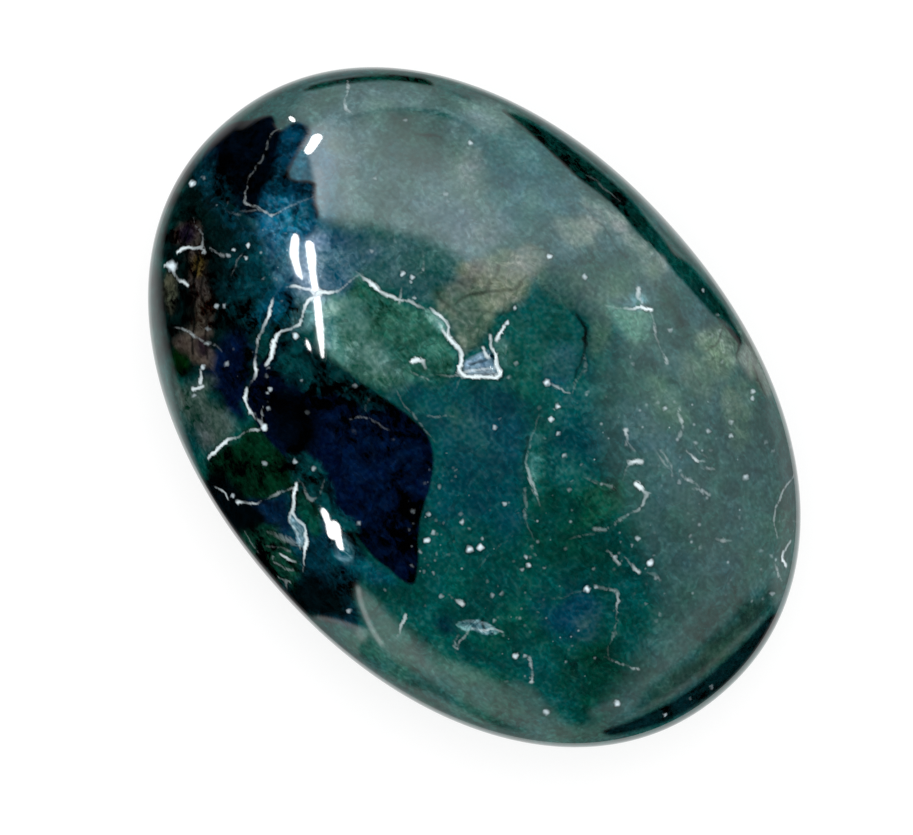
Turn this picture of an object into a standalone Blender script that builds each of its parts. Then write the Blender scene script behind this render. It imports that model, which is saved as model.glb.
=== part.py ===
"""A moss agate palm stone: one piece of agate, ground to an oval pillow and polished all over.

The long axis lies along X, the short plan axis along Y and the thickness along Z.
The origin is under the middle of the outline, on the surface that the stone rests on.
"""

import math

import bmesh
import bpy

MM = 0.001  # metres in a millimetre

# The pillow
LENGTH = 60.0 * MM
WIDTH = 42.4 * MM
CROWN = 10.4 * MM  # the upper dome, from the girdle up
BELLY = 9.6 * MM  # the lower dome, from the girdle down, before its foot is ground flat
FOOT_CUT = 0.25 * MM  # what the flat foot takes off the lower dome
PLAN_POWER = 2.11  # a power of 2 is a plain ellipse, and the real outline is a little fuller
SIDE_POWER = 2.15  # likewise for the domes, which are a little flatter on top
GIRDLE = BELLY - FOOT_CUT  # height of the widest line above the foot

# What the grinding left uneven: long low waves that fade out towards the girdle
WAVE_HEIGHT = 0.10 * MM
WAVE_LENGTH_X = 38.0 * MM
WAVE_LENGTH_Y = 27.0 * MM

# Flaws that the polishing left open in the crown: the middle on X and Y, half the length and
# half the width, the turn of the length from X in degrees, and the depth
VUG = (-2.1 * MM, 2.7 * MM, 2.3 * MM, 1.5 * MM, 20.0, 0.45 * MM)
HEALED_CRACK = (-1.7 * MM, -16.8 * MM, 3.0 * MM, 1.1 * MM, -33.0, 0.30 * MM)
RAW_PATCH = (13.4 * MM, -11.1 * MM, 1.9 * MM, 0.9 * MM, 34.0, 0.25 * MM)
SHOULDER_CHIP = (25.3 * MM, 10.6 * MM, 1.7 * MM, 1.1 * MM, -40.0, 0.30 * MM)
FLAWS = (VUG, HEALED_CRACK, RAW_PATCH, SHOULDER_CHIP)

GRID = 28  # faces along each edge of the box that is rounded into the stone

AGATE_GREEN = (0.020, 0.080, 0.068, 1.0)
AGATE_ROUGHNESS = 0.08


def clear_scene():
    for thing in list(bpy.data.objects):
        bpy.data.objects.remove(thing, do_unlink=True)


def on_pillow(x, y, z):
    """Where the ray from the girdle's centre through the unit box's point x, y, z meets the pillow."""
    plan = abs(x) ** PLAN_POWER + abs(y) ** PLAN_POWER
    size = (plan ** (SIDE_POWER / PLAN_POWER) + abs(z) ** SIDE_POWER) ** (1 / SIDE_POWER)
    dome = CROWN if z > 0 else BELLY
    return x / size * LENGTH / 2, y / size * WIDTH / 2, z / size * dome


def wave(x, y, z):
    """The unevenness of the domes at a point, none at the girdle and all of it at the top."""
    dome = CROWN if z > 0 else BELLY
    fade = (z / dome) ** 2
    along = math.sin(2 * math.pi * x / WAVE_LENGTH_X + 0.6)
    across = math.cos(2 * math.pi * y / WAVE_LENGTH_Y + 1.1)
    return WAVE_HEIGHT * fade * along * across


def dent(x, y, flaw):
    """How deep a flaw is at x, y: a flat-bottomed hollow with rounded sides."""
    middle_x, middle_y, half_length, half_width, turn, depth = flaw
    cosine, sine = math.cos(math.radians(turn)), math.sin(math.radians(turn))
    along = (x - middle_x) * cosine + (y - middle_y) * sine
    across = (y - middle_y) * cosine - (x - middle_x) * sine
    reach = (along / half_length) ** 2 + (across / half_width) ** 2
    return depth * max(0.0, 1 - reach**2)


def shape_vertex(vertex):
    """Moves a vertex of the subdivided box onto the finished stone."""
    # Tangents space the vertices evenly once the box is rounded.
    box = [math.tan(value * math.pi / 4) for value in vertex.co]
    x, y, z = on_pillow(*box)
    z += wave(x, y, z)
    if z > 0:
        z -= sum(dent(x, y, flaw) for flaw in FLAWS)
    vertex.co = x, y, max(z + GIRDLE, 0.0)


def agate():
    material = bpy.data.materials.new("polished moss agate")
    material.use_nodes = True
    surface = material.node_tree.nodes["Principled BSDF"]
    surface.inputs["Base Color"].default_value = AGATE_GREEN
    surface.inputs["Roughness"].default_value = AGATE_ROUGHNESS
    surface.inputs["Metallic"].default_value = 0.0
    return material


def build_stone():
    mesh = bpy.data.meshes.new("moss_agate")
    shaper = bmesh.new()
    bmesh.ops.create_cube(shaper, size=2.0)
    bmesh.ops.subdivide_edges(shaper, edges=shaper.edges, cuts=GRID - 1, use_grid_fill=True)
    for vertex in shaper.verts:
        shape_vertex(vertex)
    bmesh.ops.recalc_face_normals(shaper, faces=shaper.faces)
    bmesh.ops.triangulate(shaper, faces=shaper.faces)
    shaper.to_mesh(mesh)
    shaper.free()
    mesh.shade_smooth()
    mesh.materials.append(agate())
    stone = bpy.data.objects.new("moss_agate", mesh)
    bpy.context.scene.collection.objects.link(stone)
    return stone


clear_scene()
build_stone()
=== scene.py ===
import functools
import math

import bpy
import numpy as np
from mathutils import Matrix, Vector


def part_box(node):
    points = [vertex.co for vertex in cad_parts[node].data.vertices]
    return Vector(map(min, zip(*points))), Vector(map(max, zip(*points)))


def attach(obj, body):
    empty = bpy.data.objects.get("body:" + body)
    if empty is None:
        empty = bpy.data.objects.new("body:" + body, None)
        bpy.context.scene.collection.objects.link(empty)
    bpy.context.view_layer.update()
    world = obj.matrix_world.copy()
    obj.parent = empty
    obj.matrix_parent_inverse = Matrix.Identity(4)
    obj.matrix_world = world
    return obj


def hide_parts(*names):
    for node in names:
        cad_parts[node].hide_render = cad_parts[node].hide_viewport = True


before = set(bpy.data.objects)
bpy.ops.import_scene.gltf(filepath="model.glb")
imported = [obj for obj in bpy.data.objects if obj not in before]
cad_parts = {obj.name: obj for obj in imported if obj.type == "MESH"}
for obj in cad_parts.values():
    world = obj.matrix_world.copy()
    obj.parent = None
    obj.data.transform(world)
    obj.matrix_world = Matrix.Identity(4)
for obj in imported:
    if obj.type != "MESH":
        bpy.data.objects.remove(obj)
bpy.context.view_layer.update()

mm = 0.001
lowCorner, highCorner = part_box("moss_agate")

# Where the stone lies in the photograph. Places on the stone are written below as the photograph
# shows them: millimetres along the long axis (to its lower right) and across it (to its upper right).
picture = {
    "width": 913,
    "height": 835,
    "stoneCentre": (473.40, 405.14),
    "stonePixelsPerMm": 12.62,
    "markCentre": (473.57, 406.23),
    "pixelsPerMm": 12.593,
    "turn": 48.94,  # degrees from level down to the long axis
    "elevation": 86.0,
    "lens": 120.0,
    "sensor": 36.0,
}

# The pillow's sizes. Each is also an input of the tree that grows it.
stoneShape = {
    "length": highCorner.x - lowCorner.x,
    "width": highCorner.y - lowCorner.y,
    "crown": 10.4 * mm,
    "belly": 9.6 * mm,
    "footCut": 0.25 * mm,
    "planPower": 2.11,
    "sidePower": 2.15,
    "waveHeight": 0.10 * mm,
    "waveLengthX": 38.0 * mm,
    "waveLengthY": 27.0 * mm,
    "waveStartX": 0.6,
    "waveStartY": 1.1,
    "facesPerEdge": 126,
}
girdle = stoneShape["belly"] - stoneShape["footCut"]  # height of the widest line
halfLength, halfWidth = stoneShape["length"] / 2, stoneShape["width"] / 2
planPower, sidePower = stoneShape["planPower"], stoneShape["sidePower"]


def linear(code, alpha=1.0):
    # an sRGB hex colour as Blender's linear numbers
    parts = [int(code[i : i + 2], 16) / 255 for i in (1, 3, 5)]
    return (*[c / 12.92 if c <= 0.04045 else ((c + 0.055) / 1.055) ** 2.4 for c in parts], alpha)


def addNode(tree, kind, sockets=None, **settings):
    # a value that is a socket is linked, and so is the first output in use of one that is a node;
    # any other value is set
    node = tree.nodes.new(kind)
    for name, value in settings.items():
        setattr(node, name, value)
    for key, value in (sockets or {}).items():
        if isinstance(value, bpy.types.Node):
            value = next(output for output in value.outputs if output.enabled)
        if isinstance(value, bpy.types.NodeSocket):
            tree.links.new(value, node.inputs[key])
        else:
            node.inputs[key].default_value = value
    return node


def addObject(name, data):
    thing = bpy.data.objects.new(name, data)
    bpy.context.scene.collection.objects.link(thing)
    return thing


def addStaged(name, corners, faces, material):
    # something around the stone that isn't part of it
    mesh = bpy.data.meshes.new(name)
    mesh.from_pydata(corners, [], faces)
    mesh.materials.append(material)
    thing = addObject(name, mesh)
    return thing


# The camera stands where the photograph was taken from.
turn, rise = math.radians(picture["turn"]), math.radians(picture["elevation"])
cameraRight = np.array([math.cos(turn), math.sin(turn), 0.0])
cameraBack = np.array([math.sin(turn) * math.cos(rise), -math.cos(turn) * math.cos(rise), math.sin(rise)])
cameraUp = np.cross(cameraBack, cameraRight)
focalPixels = picture["lens"] / picture["sensor"] * picture["width"]
cameraDistance = focalPixels / picture["stonePixelsPerMm"] * mm
asideRight = (picture["stoneCentre"][0] - picture["width"] / 2) / picture["stonePixelsPerMm"] * mm
asideUp = (picture["height"] / 2 - picture["stoneCentre"][1]) / picture["stonePixelsPerMm"] * mm
cameraPlace = np.array([0.0, 0.0, girdle]) + cameraBack * cameraDistance
cameraPlace = cameraPlace - cameraRight * asideRight - cameraUp * asideUp


def makeCamera():
    data = bpy.data.cameras.new("camera")
    data.lens = picture["lens"]
    data.sensor_width = picture["sensor"]
    data.clip_start, data.clip_end = 0.01, 20.0
    camera = addObject("camera", data)
    axes = np.column_stack([cameraRight, cameraUp, cameraBack])
    camera.matrix_world = Matrix.Translation(cameraPlace) @ Matrix(axes.tolist()).to_4x4()
    bpy.context.scene.camera = camera


def pictureOf(points):
    # places in space, in metres, as the photograph's millimetres
    away = points - cameraPlace
    depth = -(away @ cameraBack)
    right = away @ cameraRight / depth * focalPixels + picture["width"] / 2 - picture["markCentre"][0]
    down = -away @ cameraUp / depth * focalPixels + picture["height"] / 2 - picture["markCentre"][1]
    along = right * math.cos(turn) + down * math.sin(turn)
    across = right * math.sin(turn) - down * math.cos(turn)
    return np.column_stack([along, across]) / picture["pixelsPerMm"]


def raysThrough(spots):
    # unit directions from the camera through the photograph's millimetres
    spots = np.asarray(spots, float) * picture["pixelsPerMm"]
    right = spots[:, 0] * math.cos(turn) + spots[:, 1] * math.sin(turn)
    down = spots[:, 0] * math.sin(turn) - spots[:, 1] * math.cos(turn)
    right += picture["markCentre"][0] - picture["width"] / 2
    down += picture["markCentre"][1] - picture["height"] / 2
    rays = np.outer(right, cameraRight) - np.outer(down, cameraUp) - focalPixels * cameraBack
    return rays / np.linalg.norm(rays, axis=1)[:, None]


def wave(x, y, share):
    # what the grinding left uneven; share is the height above the girdle, 1 at the top
    along = np.sin(2 * math.pi * x / stoneShape["waveLengthX"] + stoneShape["waveStartX"])
    across = np.cos(2 * math.pi * y / stoneShape["waveLengthY"] + stoneShape["waveStartY"])
    return stoneShape["waveHeight"] * share**2 * along * across


def planReach(x, y):
    # how far out a place lies: 0 in the middle, 1 all along the girdle
    return np.abs(x / halfLength) ** planPower + np.abs(y / halfWidth) ** planPower


def crownShare(x, y):
    return np.clip(1 - planReach(x, y) ** (sidePower / planPower), 0, 1) ** (1 / sidePower)


def crownWave(x, y):
    return wave(x, y, crownShare(x, y))


def onCrown(spots, rounds=30):
    # where the camera sees the photograph's millimetres on the crown, closing in round by round
    rays = raysThrough(spots)
    height = np.full(len(rays), girdle)
    for _ in range(rounds):
        places = cameraPlace + rays * ((height - cameraPlace[2]) / rays[:, 2])[:, None]
        x, y = places[:, 0], places[:, 1]
        crown = girdle + crownShare(x, y) * stoneShape["crown"] + crownWave(x, y)
        height = (height + crown) / 2
    return places


def crownNormal(places):
    # outward directions of the crown, from the slopes of its height
    x, y = places[:, 0], places[:, 1]
    common = (planReach(x, y) + 1e-12) ** (sidePower / planPower - 1)
    steepX = common * np.abs(x / halfLength) ** (planPower - 1) * np.sign(x) / halfLength
    steepY = common * np.abs(y / halfWidth) ** (planPower - 1) * np.sign(y) / halfWidth
    steepZ = np.maximum(crownShare(x, y), 1e-4) ** (sidePower - 1) / stoneShape["crown"]
    step = 0.05 * mm
    waveX = (crownWave(x + step, y) - crownWave(x - step, y)) / 2 / step
    waveY = (crownWave(x, y + step) - crownWave(x, y - step)) / 2 / step
    normals = np.column_stack([steepX - waveX * steepZ, steepY - waveY * steepZ, steepZ])
    return normals / np.linalg.norm(normals, axis=1)[:, None]


# Outlines and edges
def smoothed(points, closed=True, steps=4):
    # a Catmull-Rom curve through the points
    points = np.array(points, float)
    result = []
    for i in range(len(points) if closed else len(points) - 1):
        around = points.take(range(i - 1, i + 3), axis=0, mode="wrap" if closed else "clip")
        before, start, end, after = around
        bend = 2 * before - 5 * start + 4 * end - after
        twist = 3 * start - before - 3 * end + after
        for step in range(steps):
            t = step / steps
            result.append((2 * start + (end - before) * t + bend * t**2 + twist * t**3) / 2)
    if not closed:
        result.append(points[-1])
    return np.array(result)


def oval(middleX, middleY, reachX, reachY, degrees=0.0, corners=12):
    around = np.arange(corners) / corners * 2 * math.pi
    along, across = reachX * np.cos(around), reachY * np.sin(around)
    cosine, sine = math.cos(math.radians(degrees)), math.sin(math.radians(degrees))
    x, y = middleX + along * cosine - across * sine, middleY + along * sine + across * cosine
    return np.column_stack([x, y])


def awayFrom(line, spots):
    # how far each spot lies from a line of straight stretches, in mm
    best = np.full(len(spots), np.inf)
    for start, end in zip(line[:-1], line[1:]):
        edge = end - start
        share = np.clip((spots - start) @ edge / max(edge @ edge, 1e-12), 0, 1)
        best = np.minimum(best, ((spots - start - share[:, None] * edge) ** 2).sum(1))
    return np.sqrt(best)


def insideBy(outline, spots, reach=6.0):
    # how far inside a closed outline each spot lies, in mm, negative outside and no more than reach
    ring = smoothed(outline)
    ring = np.vstack([ring, ring[:1]])
    result = np.full(len(spots), -reach)
    near = np.all((spots > ring.min(0) - reach) & (spots < ring.max(0) + reach), axis=1)
    some = spots[near]
    inside = np.zeros(len(some), bool)
    for start, end in zip(ring[:-1], ring[1:]):
        edge = end - start
        crosses = (start[1] > some[:, 1]) != (end[1] > some[:, 1])
        crossing = start[0] + (some[:, 1] - start[1]) * edge[0] / (edge[1] or 1)
        inside ^= crosses & (some[:, 0] < crossing)
    result[near] = np.where(inside, 1, -1) * awayFrom(ring, some).clip(max=reach)
    return result


def ease(value, low, high):
    share = np.clip((value - low) / (high - low), 0, 1)
    return share * share * (3 - 2 * share)


# Zones of colour inside the agate, laid over each other in this order; among them are painted glare, painted
# dark reflections and painted shade, each marked where it stands. Each has half the width of its edge and how
# far that edge wanders, both in mm, how far the mottling carries its colour towards two ends, those ends,
# dark and light, and its outline.
paleZones = {
    "greyRight": (1.2, 2.2, 1, "#00302f", "#295856", [
        (3.5, 12), (5.5, 8.5), (8, 6.2), (11, 5.7), (14.4, 4.6), (15.5, 3.2), (19, 2.8), (21.5, 1.3),
        (23, -2), (24.4, -5.5), (25.4, -8.5), (26.6, -8.5), (28.5, -3), (28.6, 3), (27.4, 8), (23.5, 13),
        (18.5, 16.4), (12, 18.4), (6, 19), (2, 18), (2.6, 14.5)]),
    "milkUpper": (1, 1.4, 1, "#043a39", "#446c6e", [
        (-27.5, 5), (-24, 10.5), (-19, 14.8), (-12, 17), (-5, 18), (2, 18.4), (2.8, 15.5), (1.2, 13),
        (-2, 12.4), (-4.2, 12), (-4.4, 9), (-6, 7), (-8.6, 7), (-10.5, 6.6), (-13, 5), (-16, 3), (-19, 0.8),
        (-22, 1.8), (-24, 3), (-25.5, 4.4)]),
    "shadeTop": (0.6, 1.2, 1, "#002e28", "#205a4e", oval(-1.8, 14.1, 1.3, 0.9)),
    "greenLeft": (0.7, 1.2, 1, "#184f4b", "#4b726b", oval(-22.4, 9.9, 1.4, 1.1, 40)),
    "greenDark": (0.9, 1.6, 1, "#00322f", "#154c47", [
        (-21.3, 10.8), (-19, 12.8), (-17, 12.5), (-16.6, 9.8), (-18.4, 8), (-20, 7), (-20.8, 8.4)]),
    "darkNook": (0.6, 1.2, 1, "#003238", "#064e4e", oval(-12, 12.4, 1.2, 0.8)),
    "blueBlur": (0.7, 1.4, 1, "#235256", "#4a6a71", oval(-9.6, 11.9, 1.5, 1.1)),
    "violetBlur": (0.9, 1.6, 1.3, "#2a5459", "#567076", oval(-13.4, 8.6, 2.8, 1.7, -10)),
    "turquoiseHaze": (1.2, 2, 1, "#00474b", "#386a6d", [
        (-17, 15), (-14, 17.4), (-10, 17.8), (-7, 17), (-7.2, 14.5), (-8, 12.5), (-10.5, 12),
        (-13.5, 13.2)]),
    "lilacShoulder": (0.6, 1.2, 1, "#345c5b", "#5b7b79", oval(-16.6, 16, 2.2, 1, 28)),
    "duskyTop": (0.8, 1.5, 1, "#00343d", "#184f58", oval(-13.2, 14.1, 2.2, 1.1, -10)),
    "pinkHaze": (1, 1.6, 1, "#325a57", "#5b6f74", oval(-14.3, 11.6, 1.9, 1.2, -45)),
    "lilacHaze": (0.9, 1.4, 1, "#23504f", "#53676c", oval(-9.6, 9.8, 1.3, 1.4, -20)),
    "beigeHaze": (0.5, 0.9, 1.2, "#45615a", "#758581", [
        (-6.9, 14.6), (-6.3, 14.1), (-5, 14.1), (-4, 15), (-3.4, 15.7), (-4.1, 16.8), (-5.2, 16.9),
        (-5.9, 16.2)]),
    "beigeTop": (0.5, 1, 1.3, "#2f5a54", "#6a7e7a", [
        (-6.6, 17.4), (-4.4, 18.7), (-1.6, 18.8), (1.2, 19), (2.2, 17.6), (1, 16.8), (-0.6, 17.3),
        (-3, 17.5), (-5, 17)]),
    "beigeBlob": (0.4, 0.8, 1, "#36594e", "#6a7f75", oval(1.3, 18.1, 0.6, 0.9)),
    "oliveHaze": (0.7, 1.2, 1, "#184d43", "#3a5e51", oval(0.2, 15.3, 1.4, 1.6)),
    "duskLine": (0.5, 1, 1, "#001a18", "#12443f", [
        (2.2, 17.4), (4, 17.6), (6.4, 17), (7.4, 16.2), (5.6, 16.5), (3.4, 16.8)]),
    "oliveRight": (0.8, 1.6, 1.3, "#12423a", "#597464", oval(14.2, 15.6, 2.4, 0.9, -38)),
    "lilacRight": (0.8, 1.6, 1, "#164548", "#3b6167", oval(10.6, 8.9, 3.6, 1.3, 5)),
    "paleRibs": (0.7, 1.4, 1, "#2f5249", "#4f6e66", oval(9.8, 15, 1.9, 1.2)),
    "greyArc": (0.8, 1.2, 1, "#02201b", "#1f524e", [
        (20.6, 15.5), (22.3, 12.5), (23.6, 8.5), (24.3, 4), (24.3, 0), (24, -4), (25, -6.5), (26, -4),
        (26.2, 0), (26.1, 5), (25, 10), (23, 14)]),
    "brownRing": (0.5, 1, 1, "#021e1c", "#224339", [
        (26.3, 8), (27.3, 7), (27.9, 4), (28.1, 0), (27.8, -3.5), (27, -5), (26.4, -3), (26.5, 1),
        (26.3, 5)]),
    "tanPatch": (0.45, 1.1, 1, "#2b4b3e", "#757f72", [
        (-5.6, 12.4), (-4.6, 12), (-4.7, 10.4), (-4.2, 9.6), (-3.7, 8.6), (-4.1, 7.4), (-4.5, 6), (-4.2, 5),
        (-3.6, 3.8), (-3.6, 2.6), (-5, 2.6), (-7, 3.2), (-8.6, 3.4), (-9.4, 5), (-9.2, 6.4), (-8.8, 7.6),
        (-8.2, 9), (-7.4, 10.4), (-6.6, 11.7)]),
    "rustPatch": (0.7, 1.2, 1, "#4a5450", "#5f645a", oval(-7.9, 6.5, 0.9, 1.6, -10)),
    "paleTan": (0.4, 0.8, 1, "#48605a", "#7b8077", [
        (-6.4, 12), (-4.8, 12), (-5, 10.2), (-5.6, 9), (-6.6, 9.4), (-7, 10.8)]),
    "greenCap": (0.45, 0.9, 1, "#284543", "#3c5f52", [
        (-4.5, 12.2), (-3.6, 13), (-1.5, 13.4), (1, 13.3), (2.4, 12.6), (3.4, 11), (3.2, 9.6), (2, 10.4),
        (0.6, 11.4), (-1, 10.7), (-3.6, 10.3), (-4.4, 10.8)]),
    "wedge": (0.45, 0.9, 1, "#02362f", "#165553", [
        (-3.9, 9.8), (-2, 10.1), (0, 10.7), (1.6, 10.3), (2.6, 9.2), (3.3, 7.8), (3.9, 6.6), (3.2, 5.2),
        (1.8, 4.2), (0.6, 3.2), (-0.6, 3.6), (-1.8, 4.2), (-2.8, 5.2), (-3.2, 6.6), (-3.6, 8.2)]),
    "wedgeBlue": (0.7, 1.2, 1, "#002d40", "#034252", oval(2.5, 6.7, 0.9, 1.3, 10)),
    "wedgeGrey": (0.7, 1.2, 1, "#04393f", "#275457", oval(1.5, 7.4, 1.3, 1.4)),
    "duskBelow": (0.6, 1, 1.2, "#063d41", "#3b5d60", [
        (-19, 0.6), (-16, 2.8), (-13, 5), (-10, 6.8), (-8.8, 6), (-9, 4), (-8.6, 2.7), (-10, 1.7),
        (-12, 0.8), (-14, 0.4), (-17, 0.2)]),
    "duskBlue": (0.9, 1.4, 1, "#083a44", "#446175", oval(-16.4, 0.9, 2.6, 1.1, 25)),
    "duskGreen": (0.8, 1.3, 1.2, "#023633", "#365f5f", oval(-11.2, 4.6, 2.3, 1.5, 25)),
    "tealSlope": (1, 1.6, 1.4, "#00373b", "#1a5456", [
        (3.6, 9), (5.4, 8.6), (8.2, 6), (10.2, 3.4), (8.8, 0.8), (6.8, 1.2), (5, 3.4), (3.8, 6)]),
    "greenLens": (0.4, 0.6, 1.5, "#032f22", "#31675b", [
        (-14.2, -0.3), (-12, 0.2), (-10, 1.2), (-8, 2.2), (-6, 2.4), (-4.5, 1.9), (-3, 0.8), (-2.4, -0.8),
        (-4, -2.2), (-6, -4), (-8.5, -5.3), (-11, -6.2), (-12.6, -5), (-13.9, -3.4), (-14.6, -2.2)]),
    "lensGlow": (1, 1.2, 1.4, "#275246", "#688f88", [
        (-13.6, -2.4), (-11, -2.6), (-8.6, -2.4), (-6, -2.7), (-5, -3.6), (-7, -4.7), (-9.5, -5.6),
        (-11.6, -6), (-12.8, -4.6)]),
    "lensHead": (0.7, 0.9, 1, "#325c53", "#4f766e", oval(-11.6, -2.4, 1.6, 1, -20)),
    "lensFoot": (0.4, 0.6, 1, "#3e6f69", "#6f958f", oval(-10.3, -5.3, 1.3, 0.6, -20)),
    "tealCentre": (1.2, 1.4, 1, "#002b37", "#06454e", [
        (-2, 0.3), (0, 2.5), (3, 3), (5, 1), (7, -1), (9, -2.5), (9.4, -5), (6.5, -6), (4.5, -8), (2, -6),
        (0, -4.3), (-3, -3.8), (-5, -3.8)]),
    "greyPool": (0.8, 1.1, 1, "#083f45", "#265050", oval(1.4, -1.3, 2.4, 1.1, -8)),
    "mossSpread": (1, 1.8, 1.3, "#002b26", "#014239", [
        (8.6, -1), (10, 1.5), (13, 2.6), (16, 1.8), (17.4, 0), (16.8, -2.2), (14, -3.4), (11, -3.2),
        (9.2, -2.4)]),
    "blueNotch": (0.25, 0.3, 1, "#0a4760", "#357680", [
        (-24.5, 3.4), (-24.1, 1.8), (-23.3, 0.9), (-22.6, 1.2), (-21.9, 2.1), (-22.5, 2.6), (-23.3, 3)]),
    "oliveMoss": (0.8, 1.4, 1.3, "#02281f", "#195a48", oval(12.5, 2.7, 1.2, 2.2, 12)),
    "bluePatch": (0.9, 1.6, 1, "#002f40", "#05404f", [
        (16.5, -3), (18, -2.8), (18.8, -3.6), (18.9, -5), (19.4, -6.2), (18, -6.9), (15.8, -7.2),
        (14.4, -7), (15.2, -6), (16, -4.8)]),
    "violetSmear": (0.6, 1, 1, "#12424a", "#375357", oval(19.1, -4.3, 0.8, 1.3, 15)),
    "darkGreenRight": (1, 1.6, 1.3, "#001513", "#013c30", [
        (20.4, -4.6), (22, -4.4), (24, -5), (24.8, -7.2), (24.2, -9.4), (22.4, -10), (20.8, -8.6),
        (20.2, -6.5)]),
    "blueDusk": (0.6, 1, 1, "#001620", "#012430", oval(11.6, -13, 0.9, 0.8)),
    "mistLowRight": (0.8, 1.2, 1, "#042821", "#235f57", [
        (4.8, -16.4), (8, -15.9), (14, -14.3), (18.6, -12), (20, -11.2), (24, -10.8), (25.8, -9),
        (26.6, -10.5), (22, -14.8), (16, -18), (9, -20), (5.6, -19.6), (7.6, -18)]),
    "paleVeil": (0.4, 0.8, 1, "#12463a", "#56897e", [
        (1.2, 13.2), (2.2, 14.2), (2.9, 15.2), (3.5, 15.3), (4.4, 14.9), (5.2, 14.1), (4.6, 12.9),
        (2.8, 12.7)]),
    "veilCloud": (0.3, 0.8, 1.6, "#1c5a4c", "#7eb0be", oval(2.1, 15.5, 0.7, 0.5, -30)),
    "wedgeMoss": (0.4, 0.9, 1.6, "#235048", "#56807c", oval(-1.7, 4.6, 1.1, 0.5, -10)),
    "paleMoss": (0.9, 1.6, 1, "#1a4f41", "#507268", oval(9.8, 12.2, 2.2, 0.9, -6)),
    "crescentGlow": (0.4, 0.4, 1.4, "#033c34", "#30706e", [
        (4.8, 2.2), (5.1, 1.5), (5.7, 0.6), (6.5, -0.15), (7.8, -0.8), (8.9, -1.1), (8.2, -0.1), (7.4, 0.9),
        (6.5, 1.7), (5.6, 2.2)]),
    "crescentHeart": (0.35, 0.3, 1.2, "#245e5c", "#549090", oval(6.9, 0.5, 1.1, 0.35, -48)),
    "rimLight": (0.3, 0.5, 1, "#040c09", "#58766a", [
        (8.9, 20.3), (10.3, 19.7), (10.7, 18.6), (11.4, 18.2), (12.9, 18.1), (14.6, 18.1), (13.8, 19.1),
        (12, 19.8), (10.4, 20.4)]),
    "ribbedOlive": (0.6, 1, 1.3, "#2a4a3c", "#7c9486", [
        (7.7, 16.9), (9, 16.5), (10.6, 16.3), (11.2, 17), (10.6, 18.6), (9.6, 19.5), (8.2, 19.3),
        (7.6, 18)]),
    "vugHaze": (0.2, 0.3, 1, "#0e4038", "#82b6b0", [
        (-8.2, 2), (-7.6, 2.5), (-6.4, 2.7), (-5.8, 2.2), (-6.4, 1.9), (-7.4, 1.9)]),
}
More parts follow.
